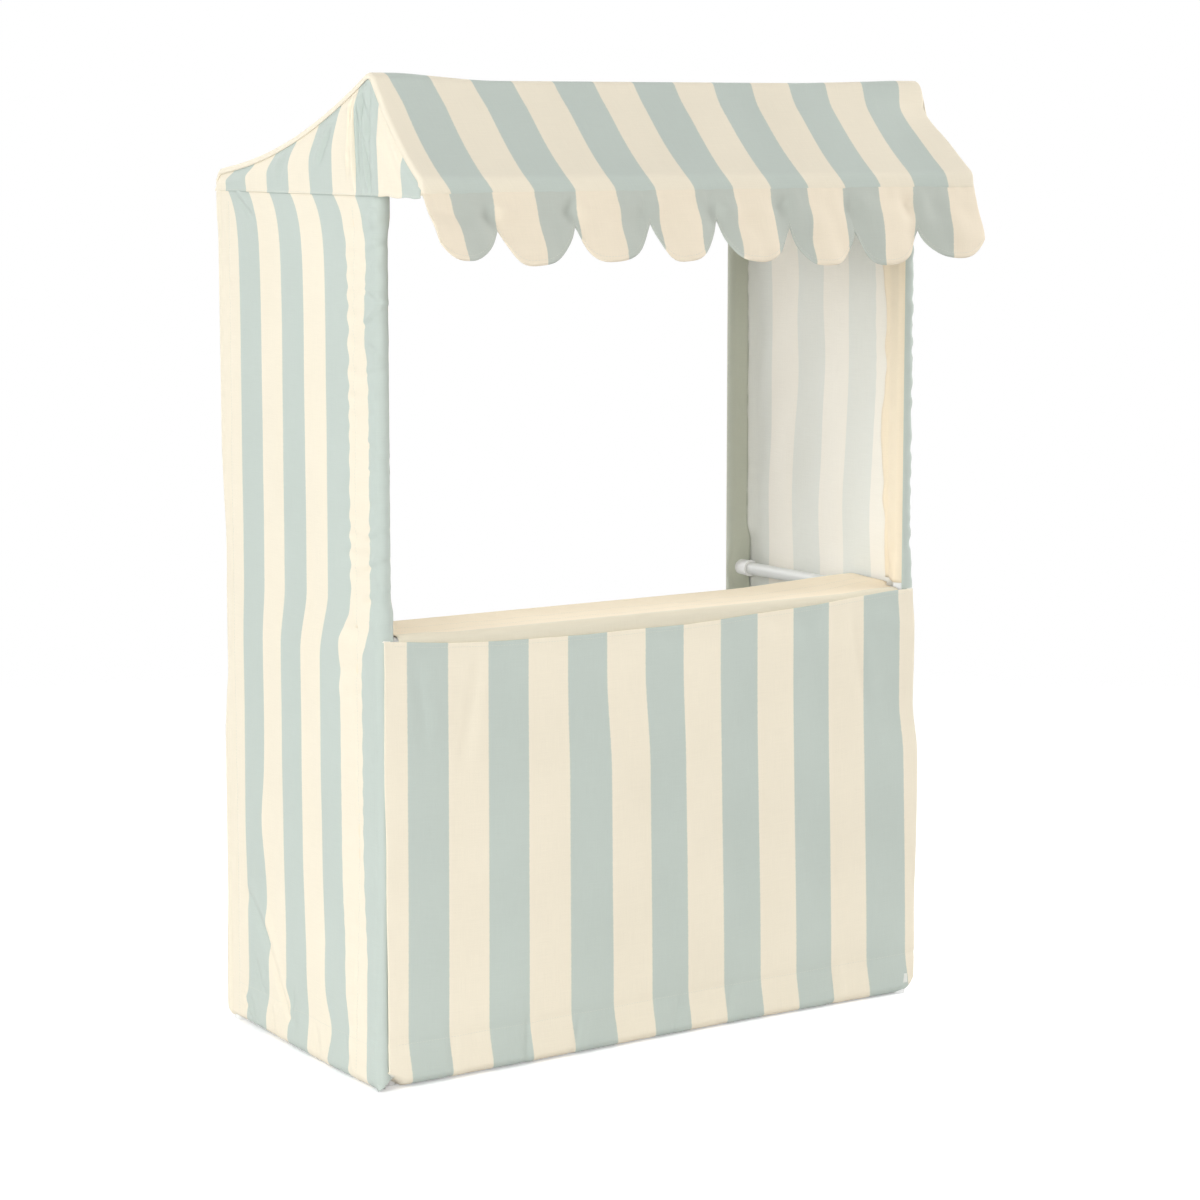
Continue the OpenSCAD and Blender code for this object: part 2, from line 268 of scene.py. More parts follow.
def whiteFinish(name, look):
    # a fine grain in the surface, and broad clouds in its colour and gloss
    material, wire = newMaterial(name)
    place = wire.node("TexCoord", None, None, "Object")
    grain = wire.noise(place, *look["grain"])
    cloud = wire.noise(place, *look["cloud"])
    bump = {"Strength": look["strength"], "Distance": look["relief"], "Height": grain}
    values = {
        "Base Color": wire.shade(look["white"], look["tone"][0] + cloud * look["tone"][1]),
        "Roughness": look["rough"][0] + cloud * look["rough"][1],
        "Specular IOR Level": look["specular"],
        "Normal": wire.node("Bump", None, bump),
    }
    finishMaterial(wire, values)
    return material


def sewingThread():
    # short fibres, a little lighter and darker
    material, wire = newMaterial("sewing_thread")
    place = wire.node("TexCoord", None, None, "Object")
    fibre = wire.noise(place, thread["fibre"], 1.0)
    colour = wire.shade(thread["cream"], 0.9 + fibre * 0.2)
    finishMaterial(wire, {"Base Color": colour, "Roughness": 0.7 + fibre * 0.1, "Specular IOR Level": 0.3})
    return material


whiteCoat = whiteFinish("white_powder_coat", coat)
whitePlastic = whiteFinish("white_moulded_plastic", moulded)
creamThread = sewingThread()
finishOf = {"white_tube": whiteCoat, "white_connector": whitePlastic}
for part in frame["record"]["subparts"]:
    if part["material_slot"] in finishOf:
        frame["nodes"][part["node"]].material_slots[0].material = finishOf[part["material_slot"]]
print("materials done")


def ease(low, high, x):
    # smooth step: 0 up to low, 1 from high on
    t = np.clip((x - low) / (high - low), 0, 1)
    return t * t * (3 - 2 * t)


def bell(x, centre, width):
    # bell curve of height 1
    return np.exp(-(((x - centre) / width) ** 2))


def ripple(a, b, span, seed):
    # sum of six plane waves of about that length in seeded directions, about -1 to 1
    rng = np.random.default_rng(seed)
    turns = rng.uniform(0, pi, 6)
    lengths = span * rng.uniform(0.7, 1.5, 6)
    phases = rng.uniform(0, 2 * pi, 6)
    total = 0 * (a + b)
    for turn, length, phase in zip(turns, lengths, phases):
        total = total + np.sin(2 * pi * (a * math.cos(turn) + b * math.sin(turn)) / length + phase)
    return total / 3


def crease(a, b, start, end, width, depth):
    # a groove with a soft ridge beside it, on a line from start to end, fading at both ends
    runA = end[0] - start[0]
    runB = end[1] - start[1]
    length = math.hypot(runA, runB)
    along = ((a - start[0]) * runA + (b - start[1]) * runB) / length ** 2
    across = ((b - start[1]) * runA - (a - start[0]) * runB) / length
    fade = ease(-0.2, 0.25, along) * (1 - ease(0.75, 1.2, along))
    return depth * fade * (0.7 * bell(across, 2 * width, 1.3 * width) - bell(across, 0, width))


def addCreases(out, a, b, creases):
    # each crease is its start, its end, its width and its depth, in mm
    for start, end, width, depth in creases:
        start = [c * mm for c in start]
        end = [c * mm for c in end]
        out = out + crease(a, b, start, end, width * mm, depth * mm)
    return out


def steps(*stops):
    # values from stop to stop: each stop is (value, number of steps up to it)
    parts = [np.array([stops[0][0]])]
    for before, (end, count) in zip(stops, stops[1:]):
        parts.append(np.linspace(before[0], end, count + 1)[1:])
    return np.concatenate(parts)


def runAlong(line):
    # length along a line of points, from its first point
    return np.concatenate([[0], np.cumsum(np.linalg.norm(np.diff(line, axis=0), axis=1))])


def resample(line, count):
    # a polyline's points at even lengths
    length = runAlong(line)
    at = np.linspace(0, length[-1], count)
    return np.stack([np.interp(at, length, line[:, k]) for k in range(2)], -1), at


def unit(vectors):
    return vectors / np.maximum(np.linalg.norm(vectors, axis=-1, keepdims=True), 1e-12)


def gridNormals(xyz):
    # unit cross product of the grid's two directions
    return unit(np.cross(np.gradient(xyz, axis=1), np.gradient(xyz, axis=0)))


def onGrid(field, row, col):
    # value of a grid between its points, by bilinear weights
    r0 = np.clip(np.floor(row).astype(int), 0, field.shape[0] - 2)
    c0 = np.clip(np.floor(col).astype(int), 0, field.shape[1] - 2)
    fr = (row - r0)[:, None]
    fc = (col - c0)[:, None]
    low = field[r0, c0] * (1 - fc) + field[r0, c0 + 1] * fc
    high = field[r0 + 1, c0] * (1 - fc) + field[r0 + 1, c0 + 1] * fc
    return low * (1 - fr) + high * fr


def seamOn(xyz, rows, cols):
    # a seam's points on a grid, with their normals
    return onGrid(xyz, rows, cols), onGrid(gridNormals(xyz), rows, cols)


def putMesh(name, points, faces, materials, uv=None):
    mesh = bpy.data.meshes.new(name)
    mesh.from_pydata(points, [], faces, shade_flat=False)
    if uv is not None:
        layer = mesh.uv_layers.new(name="cloth")
        layer.data.foreach_set("uv", uv[faces.ravel()].astype(np.float32).ravel())
    for material in materials:
        mesh.materials.append(material)
    piece = bpy.data.objects.new(name, mesh)
    scene.collection.objects.link(piece)
    return piece


def gridFaces(rows, cols):
    index = np.arange(rows * cols).reshape(rows, cols)
    corners = [index[:-1, :-1], index[:-1, 1:], index[1:, 1:], index[1:, :-1]]
    return np.stack(corners, -1).reshape(-1, 4)


def clothPiece(name, xyz, uv, materials, thick, body="stall"):
    # the grid is the outer face; the cloth's thickness goes in behind it
    rows, cols = xyz.shape[:2]
    piece = putMesh(name, xyz.reshape(-1, 3), gridFaces(rows, cols), materials, uv.reshape(-1, 2))
    layer = piece.modifiers.new("cloth_layer", "SOLIDIFY")
    layer.thickness = thick
    layer.offset = -1
    layer.material_offset = len(materials) - 1
    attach(piece, body)
    return piece


stitch = {"length": 3.2 * mm, "gap": 1.3 * mm, "radius": 0.18 * mm}


def stitchRow(name, lines, body="stall"):
    # short capsules laid end to end along lines of points with their normals
    pitch = stitch["length"] + stitch["gap"]
    places = []
    for points, normals in lines:
        run = runAlong(points)
        at = np.arange(pitch / 2, run[-1], pitch)
        asked = ((at, points), (at + 0.5 * mm, points), (at, normals))  # place, a point ahead, normal
        found = [[np.interp(where, run, field[:, k]) for k in range(3)] for where, field in asked]
        places.append(np.array(found).transpose(2, 0, 1))
    centre, ahead, up = np.concatenate(places).transpose(1, 0, 2)
    tangent = unit(ahead - centre)
    normal = unit(up - (up * tangent).sum(1, keepdims=True) * tangent)
    side = np.cross(normal, tangent)
    count = 6  # the caps below are for six sides
    turn = np.arange(count) * 2 * pi / count
    rings = np.array([(-0.5, 0.35), (-0.38, 0.9), (0.0, 1.1), (0.38, 0.9), (0.5, 0.35)])
    lift = np.array([-0.5, 0.15, 0.45, 0.15, -0.5]) * stitch["radius"]
    radius = stitch["radius"] * rings[:, 1]
    a = (rings[:, 0] * stitch["length"])[:, None] + 0 * turn
    b = radius[:, None] * np.cos(turn)
    c = radius[:, None] * np.sin(turn) + lift[:, None]
    shape = np.stack([a, b, c], -1).reshape(-1, 3)
    basis = np.stack([tangent, side, normal], 1)
    points = (shape[None] @ basis + centre[:, None]).reshape(-1, 3)
    ring = np.arange(5 * count).reshape(5, count)
    turned = np.roll(ring, -1, axis=1)
    quads = np.stack([ring[:-1], turned[:-1], turned[1:], ring[1:]], -1).reshape(-1, 4)
    caps = np.array([[0, 5, 4, 1], [1, 4, 3, 2], [24, 25, 28, 29], [25, 26, 27, 28]])
    faces = np.concatenate([quads, caps])
    faces = (faces[None] + (np.arange(len(centre)) * 5 * count)[:, None, None]).reshape(-1, 4)
    piece = putMesh(name, points, faces, [creamThread])
    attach(piece, body)
    return piece


sleeve = {
    "tight": 11.4 * mm,  # outer radius where a front sleeve hugs its tube
    "loose": 14.6 * mm,  # over the connectors
    "socket": 12.8 * mm,  # the connectors' own radius
    "lower": 14.0 * mm,  # below the counter
    "corner": 2.2 * mm,  # the lower front sleeves are squarer
    "rear": clothR + 0.7 * mm,  # the rear sleeves hang easy
    "flat": clothR + 0.3 * mm,  # the panel between the posts
    "wrap": math.radians(128),  # how far the striped cloth goes round a post
    "stitchFront": 45 * mm,
    "stitchRear": 20 * mm,
    "thick": 0.9 * mm,
}
sockets = [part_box(name + "_connector_front_left") for name in ("foot", "counter", "top")]


def overSocket(z, margin):
    # 1 over a connector, falling to 0 at that distance above and below it
    share = 0 * z
    for low, high in sockets:
        rises = ease(low.z - margin, low.z - 2 * mm, z)
        falls = ease(high.z + 2 * mm, high.z + margin, z)
        share = np.maximum(share, rises * (1 - falls))
    return share


def sleeveRadius(z):
    # hugs the tube, swelling over the connectors at the floor, the counter and the top
    below = 1 - ease(counterZ - 60 * mm, counterZ, z)
    base = sleeve["tight"] + (sleeve["lower"] - sleeve["tight"]) * below
    return base + (sleeve["loose"] - base) * overSocket(z, 28 * mm)


def leastRadius(z):
    # the cloth's outer face where it lies hard on a tube or a connector
    return tubeR + (sleeve["socket"] - tubeR) * (overSocket(z, 4 * mm) > 0) + sleeve["thick"] + 0.15 * mm


sideCloth = {
    "tuck": 12 * mm,  # goes up under the gable
    "foldDepth": 5.2 * mm,
    "folds": 3,
    "pucker": 1.5 * mm,
    "splay": (-19 * mm, -21 * mm),  # the loose lower front corner on the left stands out
    "splayHeight": 0.34,
    "rearSlack": [  # height in mm, and how far the left rear sleeve stands out at its corner
        (0, 6.5), (120, 6), (170, 4.2), (420, 4.2), (475, 1.0), (505, -1.8), (548, -1.4),
        (634, -1.4), (655, -3.0), (695, -2.4), (750, 0.7), (820, 3.2), (1120, 3.5), (1150, 5.4), (1200, 5.6),
    ],
    "tuckIn": 7 * mm,  # the right panel is drawn in at its rear seam
    "tuckClear": 30 * mm,  # but not this near a connector
    "turnUnder": 1.9,  # radians, how far the hem goes round the floor rail
    "pocket": 45 * mm,  # height of the hem pocket's seam over the rail
    "allow": 1.45,  # how far a fold shifts the stripes, for each mm that it stands out
    "busy": [(1000, 40), (830, 30), (630, 50), (1150, 30)],  # height and width of the most creased places
    "pulls": [  # pull in mm, then place and width along the panel and up it
        (16, 165, 35, 63, 20), (18, 300, 55, 55, 36), (-12, 75, 45, 30, 30),
        (-11, 322, 30, 600, 30), (-12, 90, 30, 305, 60),
    ],
    "left": {"pitch": 60 * mm, "sageAt": 77.5 * mm, "seed": 11},  # sageAt is a sage stripe's middle
    "right": {"pitch": 62.5 * mm, "sageAt": 35.75 * mm, "seed": 23},
}


def stitchPull(z, seed):
    # uneven waves of about 31 mm where the pocket's seam draws the cloth up
    strong = 0.4 + 0.6 * (bell(z, 0.99, 0.09) + bell(z, 0.715, 0.05))
    return strong * np.sin(2 * pi * z / (31 * mm) + 1.3 * np.sin(2 * pi * z / 0.17 + seed))


def stripeShift(hand, q, z):
    # how far the stripes are pulled along the panel, towards the front
    if hand == "right":
        drift = 8 * bell(z, 0.92, 0.09) - 6 * bell(z, 0.70, 0.07) + 5 * bell(z, 1.05, 0.05)
        return (drift * ease(0, 0.12, q) * (1 - ease(0.30, 0.40, q))) * mm
    share = q / sideDepth
    top = 3 - (31 + 7 * share) * np.exp(-np.clip(seamZ - z, 0, None) / 0.032) * (1 - ease(0.395, 0.43, q))
    front = -12 * ease(0.365, 0.400, q) * ease(0.60, 0.66, z)
    low = -(3 + 30 * ease(0, 0.95, share)) * (1 - ease(0.560, 0.650, z))
    hem = -6 * (1 - ease(0, 0.06, z)) * (1 - ease(0.15, 0.25, q))
    drawn = -12 * bell(z, 1.015, 0.05) * ease(0.37, 0.395, q)
    total = top + front + low + hem + drawn + 6 * splayShare(q, z)
    for pull, q0, qWidth, z0, zWidth in sideCloth["pulls"]:
        total = total + pull * bell(q, q0 * mm, qWidth * mm) * bell(z, z0 * mm, zWidth * mm)
    return total * mm


def splayShare(q, z):
    # grows towards the front post and the floor
    return ease(-0.2, 1.0, q / sideDepth) * (1 - ease(0, sideCloth["splayHeight"], z)) ** 1.2


def rearSlack(hand, z):
    # the slack list read off between its heights, on the left only
    at, slack = np.array(sideCloth["rearSlack"]).T * mm
    return np.interp(z, at, slack) * (hand == "left")


def sideFolds(hand, q, z):
    # broad slack folds, the drawn pocket seams, sleeve creases and small unevenness
    seed = sideCloth[hand]["seed"]
    u = np.clip(q / sideDepth, 0, 1)
    v = np.clip(z / seamZ, 0, 1)
    swell = np.sin(pi * u) * np.sin(pi * v)
    pleats = (1 - np.cos(2 * pi * (sideCloth["folds"] * u + v * (1 - v)))) / 2
    out = sideCloth["foldDepth"] * swell * pleats
    out = out + 1.3 * mm * ripple(q, z * 0.6, 0.10, seed) * ease(0, 0.05, q) * ease(0, 0.05, sideDepth - q)
    for line, pull in ((sideDepth - sleeve["stitchFront"], 1.0), (sleeve["stitchRear"], 0.35)):
        out = out + sideCloth["pucker"] * pull * stitchPull(z, seed) * bell(q, line, 20 * mm)
        out = out - 1.1 * mm * bell(q, line, 3.2 * mm)
    if hand == "right":
        drawn = bell(q, sleeve["stitchRear"], 13 * mm) * (1 - overSocket(z, sideCloth["tuckClear"]))
        out = out - sideCloth["tuckIn"] * drawn
    nearPost = np.abs(q - sideDepth)
    slant = np.sin(2 * pi * (z + 0.7 * q) / (37 * mm) + 1.6 * np.sin(2 * pi * z / 0.21 + seed))
    busy = 0.35 + 0.65 * sum(bell(z, at * mm, width * mm) for at, width in sideCloth["busy"])
    out = out + 1.2 * mm * slant * busy * bell(nearPost, 0, 26 * mm)
    fine = 1.5 * mm * ripple(q * 0.7, z, 22 * mm, seed + 3)
    return out + fine * bell(nearPost, -4 * mm, 22 * mm) * ease(0.60, 0.64, z)


leftCreases = [  # start and end as (mm from the rear post, height), width and depth
    ((40, 1176), (88, 1146), 4, 3.6),
    ((50, 196), (104, 142), 9, 4.6),
    ((92, 156), (160, 66), 8, 4.4),
    ((150, 87), (175, 38), 7, 3.6),
    ((72, 105), (92, 62), 5, 3.0),
    ((188, 88), (186, 40), 4, 3.0),
    ((36, 48), (52, 14), 4, 3.0),
    ((56, 48), (70, 12), 4, 3.0),
    ((120, 45), (128, 9), 4, 2.4),
    ((250, 52), (262, 8), 6, 2.0),
    ((330, 60), (345, 10), 6, 2.0),
    ((396, 1106), (436, 1118), 3, 2.0),
    ((388, 1056), (436, 1036), 3, 2.6),
    ((387, 1010), (436, 1034), 3, 2.6),
    ((392, 990), (432, 972), 3, 2.2),
    ((392, 948), (436, 958), 3, 1.8),
    ((384, 862), (436, 838), 3, 2.2),
    ((386, 822), (436, 816), 3, 2.0),
    ((384, 728), (436, 746), 3, 2.4),
    ((384, 690), (436, 706), 3, 2.4),
    ((380, 646), (436, 664), 3, 2.2),
    ((370, 560), (300, 545), 10, 1.8),
    ((372, 600), (310, 612), 9, 1.8),
]


def sideClothXYZ(hand, q, z, hemTurn, creased=True):
    # q runs from behind the rear post, along the panel and round the front post; hemTurn is the hem's angle
    # a point stands out by the sleeve's radius, the folds and the creases, square to panel or post
    side = sideOf[hand]
    radius = np.where(q < sideDepth / 2, sleeve["rear"], sleeveRadius(z))
    nominal = sleeve["lower"]
    rearTurn = np.clip(-q, 0, None) / nominal
    frontTurn = np.clip(q - sideDepth, 0, None) / nominal
    turn = rearTurn + frontTurn
    low = z - hemTurn * floorZ / sideCloth["turnUnder"]
    half = np.sin(2 * np.clip(turn, 0, pi / 2))  # most halfway round the corner
    squarer = sleeve["corner"] * (1 - ease(counterZ - 90 * mm, counterZ - 30 * mm, z))
    radius = radius + half * np.where(q < 0, rearSlack(hand, z), squarer)
    # the rear sleeve rounds in at the floor
    bag = np.sqrt(1 - (np.clip(26 * mm - low, 0, 26 * mm) / (26 * mm)) ** 2)
    radius = radius - (radius - 13.6 * mm) * (1 - bag) * ease(0, 0.35, rearTurn)
    nearPost = np.minimum(np.abs(q), np.abs(q - sideDepth))
    flat = ease(0, 70 * mm, nearPost) * (turn == 0)
    folds = sideFolds(hand, q, z) * ease(8 * mm, 70 * mm, z) * (1 - ease(seamZ - 32 * mm, seamZ - 4 * mm, z))
    folds = np.where(frontTurn > 0, np.clip(folds, -2 * mm, 1.2 * mm), folds)
    underGable = ease(seamZ - 2 * mm, seamZ + 3 * mm, z)
    out = radius + (sleeve["flat"] - radius) * flat + folds - 1.2 * mm * underGable
    if hand == "left" and creased:
        out = addCreases(out, q, z, leftCreases)
    onPost = (q < 16 * mm) | (q > sideDepth - 16 * mm)
    out = np.where(onPost, np.maximum(out, leastRadius(z)), out)
    loose = ease(0, 0.6, turn)  # round the posts the hem hangs open
    turnIn = hemTurn * (1 - loose)
    cut = ease(0.4, 1.6, frontTurn) * 20 if hand == "left" else ease(0.1, 0.6, frontTurn) * 30
    drop = floorZ - 0.4 * mm - cut * mm - 9 * mm * ease(0.05, 0.55, rearTurn)
    lowest = 0.4 * mm + (3.6 * mm) * (1 - ease(20 * mm, 240 * mm, q)) * (hand == "left")
    turned = (floorZ - lowest) * np.sin(hemTurn)
    level = z - turned * (1 - loose) - loose * drop * (hemTurn / sideCloth["turnUnder"])
    reach = out * np.cos(turnIn)
    x = side * (postX + reach * np.cos(turn))
    front = np.where(q > sideDepth, frontY - reach * np.sin(frontTurn), rearY - q)
    y = np.where(q < 0, rearY + reach * np.sin(rearTurn), front)
    if hand == "left":
        splay = splayShare(q, low) * (1 - ease(0.8, 2.2, frontTurn))
        x = x + sideCloth["splay"][0] * splay * (1 - 0.45 * ease(0, 1.2, frontTurn))
        y = y + sideCloth["splay"][1] * splay
    return np.stack([x, y, level], -1)


def makeSideCloth(hand):
    # a grid over the panel and both its sleeves, with the hem turned under the floor rail
    arc = sleeve["wrap"] * sleeve["lower"]
    panel = ((0, 14), (32 * mm, 13), (sideDepth - 70 * mm, 80), (sideDepth, 28))
    q = steps((-arc, 0), *panel, (sideDepth + arc, 16))
    # closer rows where the cloth is creased, then the turn of the hem
    fall = steps((seamZ + sideCloth["tuck"], 0), (1.0, 58), (0.62, 96), (0.23, 64), (floorZ, 75))
    z = np.concatenate([fall, np.full(9, floorZ)])
    hemTurn = np.concatenate([0 * fall, np.linspace(0, sideCloth["turnUnder"], 10)[1:]])
    qq, zz = np.meshgrid(q, z)
    turn = np.broadcast_to(hemTurn[:, None], qq.shape)
    xyz = sideClothXYZ(hand, qq, zz, turn)
    look = sideCloth[hand]
    lateral = 3.4 * mm * stitchPull(zz, look["seed"]) * bell(qq, sideDepth - sleeve["stitchFront"], 34 * mm)
    shift = stripeShift(hand, qq, zz) + lateral
    if hand == "left":  # seen from the front corner a fold shifts its stripes, so the cut allows for it
        smooth = sideClothXYZ(hand, qq, zz, turn, False)
        proud = np.clip(-smooth[..., 0] - postX - clothR, -8 * mm, 8 * mm)
        shift = shift + sideCloth["allow"] * proud * ease(0, 25 * mm, qq) * ease(0, 25 * mm, sideDepth - qq)
    u = (qq - shift - look["sageAt"]) * canvas["stripe"] / look["pitch"]
    v = zz - turn * floorZ
    if hand == "left":
        xyz, u, v = xyz[:, ::-1], u[:, ::-1], v[:, ::-1]
    name = "side_cloth_" + hand
    cloth = [stripedCanvas, stripedBack]
    piece = clothPiece(name, xyz, np.stack([u, v], -1), cloth, sleeve["thick"])
    lines = []
    rows = np.arange(8, len(fall))
    for line in (sideDepth - sleeve["stitchFront"], sleeve["stitchRear"]):
        col = np.interp(line, q, np.arange(len(q)))
        col = len(q) - 1 - col if hand == "left" else col
        lines.append(seamOn(xyz, rows, np.full(len(rows), col)))
    row = np.interp(-(floorZ + sideCloth["pocket"]), -fall, np.arange(len(fall)))
    cols = np.arange(20, len(q) - 22)
    lines.append(seamOn(xyz, np.full(len(cols), row), cols))
    seam = stitchRow("side_stitches_" + hand, lines)
    nodes = ("side_panel_", "post_pocket_front_", "post_pocket_rear_", "side_hem_pocket_")
    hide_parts(*[node + hand for node in nodes])
    size = (float(q[-1] - q[0]), float(v.max() - v.min()))
    print(name, xyz.shape[:2], np.round(size, 3))


for hand in hands:
    makeSideCloth(hand)

hemPocket = {"radius": 13.3 * mm, "thick": 0.8 * mm}


def makeHemPocket(hand):
    # from the side cloth's hem on under the floor rail, round its inner side and up to the pocket's seam
    side = sideOf[hand]
    look = hemPocket
    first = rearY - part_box("foot_connector_rear_" + hand)[0].y + 2 * mm
    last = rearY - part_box("foot_connector_front_" + hand)[1].y - 2 * mm
    q = np.linspace(first, last, 70)[None]
    hem = sideClothXYZ(hand, q, floorZ + 0 * q, sideCloth["turnUnder"] + 0 * q)
    seam = sideClothXYZ(hand, q, floorZ + sideCloth["pocket"] + 0 * q, 0 * q)
    seam = seam - np.array([side * (sleeve["thick"] + 0.5 * mm), 0, 0])
    angle = np.radians(np.linspace(112, 200, 15))[:, None]
    x = side * (postX + look["radius"] * np.cos(angle)) + 0 * q
    arc = np.stack([x, rearY - q + 0 * angle, floorZ - look["radius"] * np.sin(angle) + 0 * q], -1)
    t = np.linspace(0, 1, 13)[:, None, None]
    xyz = np.concatenate([hem + (arc[:1] - hem) * t[:-1], arc, arc[-1:] + (seam - arc[-1:]) * t[1:]])
    run = runAlong(xyz[:, q.size // 2])
    u = (q - sideCloth[hand]["sageAt"]) * canvas["stripe"] / sideCloth[hand]["pitch"]
    uv = np.stack(np.broadcast_arrays(u, -run[:, None]), -1)
    if hand == "left":
        xyz, uv = xyz[:, ::-1], uv[:, ::-1]
    piece = clothPiece("side_hem_" + hand, xyz, uv, [stripedCanvas], look["thick"])


for hand in hands:
    makeHemPocket(hand)
print("side hem pockets done")

facing = {
    "thick": 0.6 * mm,
    "start": math.radians(92),  # goes in under the edge of the striped cloth
    "front": {
        "stitch": sleeve["stitchFront"], "spare": 8 * mm, "tuckIn": 0, "seed": 5, "cloth": creamCanvas,
        "postY": frontY, "inward": 1,
    },
    "rear": {
        "stitch": sleeve["stitchRear"], "spare": 2 * mm, "tuckIn": sideCloth["tuckIn"], "seed": 6,
        "cloth": sageCanvas, "postY": rearY, "inward": -1,
    },
    "stretch": 11 * mm,  # how far a rear facing bulges over the counter's connector
    "heights": {
        "upper": (counterZ + 21 * mm, seamZ - 3 * mm),
        "lower": (46 * mm, counterZ - 21 * mm),
        "whole": (46 * mm, seamZ - 3 * mm),
    },
}


def makeFacing(hand, end, level):
    # round the inner side of a post from the striped cloth's edge, then straight to the pocket's seam
    side = sideOf[hand]
    look = facing[end]
    low, high = facing["heights"][level]
    z = np.linspace(high, low, int((high - low) / (5 * mm)))[:, None]
    outer = sleeveRadius(z) if end == "front" else sleeve["rear"] + np.minimum(rearSlack(hand, z), 0)
    radius = np.maximum(outer - sleeve["thick"] - 0.1 * mm, tubeR + 0.7 * mm)
    plane = outer - sleeve["thick"] - facing["thick"] - 0.2 * mm
    drawn = look["tuckIn"] if hand == "right" else 0
    plane = plane - drawn * (1 - overSocket(z, sideCloth["tuckClear"]))
    reach = np.hypot(plane, look["stitch"])
    last = np.arctan2(look["stitch"], plane) + np.arccos(radius / reach) - 2 * pi
    t = np.linspace(0, 1, 22)[None, :]
    angle = -facing["start"] + (last + facing["start"]) * t
    arcA = radius * np.cos(angle)
    arcB = radius * np.sin(angle)
    s = np.linspace(0, 1, 15)[None, 1:]
    runA = arcA[:, -1:] + (plane - arcA[:, -1:]) * s
    runB = arcB[:, -1:] + (look["stitch"] - arcB[:, -1:]) * s
    spare = np.linspace(0, 1, 5)[None, 1:]
    sway = ripple(0 * z, z, 60 * mm, look["seed"])
    endA = plane - (0.4 * mm + 1.2 * mm * (0.5 + 0.5 * sway)) * spare ** 2
    wide = 12 * bell(z, 1.10, 0.07) + 9 * bell(z, 0.82, 0.06) if end == "front" else -9 * ease(0.85, 1.15, z)
    endB = look["stitch"] + (look["spare"] + 1.5 * mm * sway + wide * mm) * spare
    a = np.concatenate([arcA, runA, endA + 0 * z], 1)
    b = np.concatenate([arcB, runB, endB + 0 * z], 1)
    wave = np.sin(2 * pi * z / (29 * mm) + 1.2 * np.sin(2 * pi * z / 0.16 + side))
    middleRun = np.concatenate([0 * t, np.sin(pi * s), 0 * spare], 1)
    a = a - 0.9 * mm * (0.6 + wave) * middleRun
    if end == "rear":  # stretched over the counter's connector
        over = bell(z, counterZ, 42 * mm) * ease(-6 * mm, 12 * mm, b)
        a = a - facing["stretch"] * over * (1 - 0.75 * ease(13 * mm, 21 * mm, b))
    xyz = np.stack([side * (postX + a), look["postY"] + look["inward"] * b, z + 0 * a], -1)
    length = runAlong(np.stack([a[0], b[0]], -1))
    uv = np.stack(np.broadcast_arrays(length[None], z), -1)
    if (hand == "right") != (end == "front"):
        xyz, uv = xyz[:, ::-1], uv[:, ::-1]
    name = "_".join(["post_facing", end, level, hand])
    piece = clothPiece(name, xyz, uv, [look["cloth"]], facing["thick"])
    high - low


for hand in hands:
    makeFacing(hand, "front", "upper")
    makeFacing(hand, "front", "lower")
    makeFacing(hand, "rear", "whole")
print("post facings done")

roof = {
    "rearSag": 20 * mm,
    "frontSag": 8 * mm,
    "thick": 1.3 * mm,
    "edge": 5 * mm,  # radius of the turned-down edge over the gables
    "leftLift": 5 * mm,  # the left end sits high on its ridge connector
    "rearLift": 1.4 * mm,  # and its rear slope sags less
    "rightSag": 9 * mm,  # the right edge is drawn in below the ridge
    "rightIn": 4 * mm,
    "settle": 3.5 * mm,  # how far the cloth sinks onto the ridge pole between the connectors
    "pitch": 63.5 * mm,
}


def roofProfile(count=900):
    # a hem up the rear rail, a sagging slope to the ridge, the front slope to the eave and a short hem
    rise = ridgeZ - topZ
    t = np.linspace(0, 1, 160)
    lines = []

    def slopeAngle(run, sag, end):
        return math.atan2(rise + end * 4 * sag, run)

    def bar(y, z, first, last):
        angle = np.linspace(first, last, 60)
        lines.append(np.stack([y + clothR * np.cos(angle), z + clothR * np.sin(angle)], -1))

    def slope(yLow, yHigh, sag, downwards):
        y = yLow + (yHigh - yLow) * t
        z = topZ + rise * t - 4 * sag * t * (1 - t)
        tilt = np.arctan2(rise - 4 * sag * (1 - 2 * t), abs(yHigh - yLow))
        away = 1 if yLow > yHigh else -1
        line = np.stack([y + away * clothR * np.sin(tilt), z + clothR * np.cos(tilt)], -1)
        lines.append(line[::-1] if downwards else line)

    rearRun = rearY - frontY
    frontRun = frontY - eaveY
    lines.append(np.array([[rearY + clothR, seamZ], [rearY + clothR, topZ]]))
    rearLow, rearHigh = [slopeAngle(rearRun, roof["rearSag"], end) for end in (-1, 1)]
    frontLow, frontHigh = [slopeAngle(frontRun, roof["frontSag"], end) for end in (-1, 1)]
    bar(rearY, topZ, 0, pi / 2 - rearLow)
    slope(rearY, frontY, roof["rearSag"], False)
    bar(frontY, ridgeZ, pi / 2 - rearHigh, pi / 2 + frontHigh)
    slope(eaveY, frontY, roof["frontSag"], True)
    bar(eaveY, topZ, pi / 2 + frontLow, pi)
    front = eaveY - clothR
    hem = [  # runs down behind the valance's corded edge
        [front, topZ], [front - 0.6 * mm, hingeZ + 4 * mm],
        [front - 0.5 * mm, hingeZ - 1 * mm], [front, hingeZ - 3 * mm],
    ]
    lines.append(np.array(hem))
    return resample(np.concatenate(lines), count)


profile = roofProfile()[0]


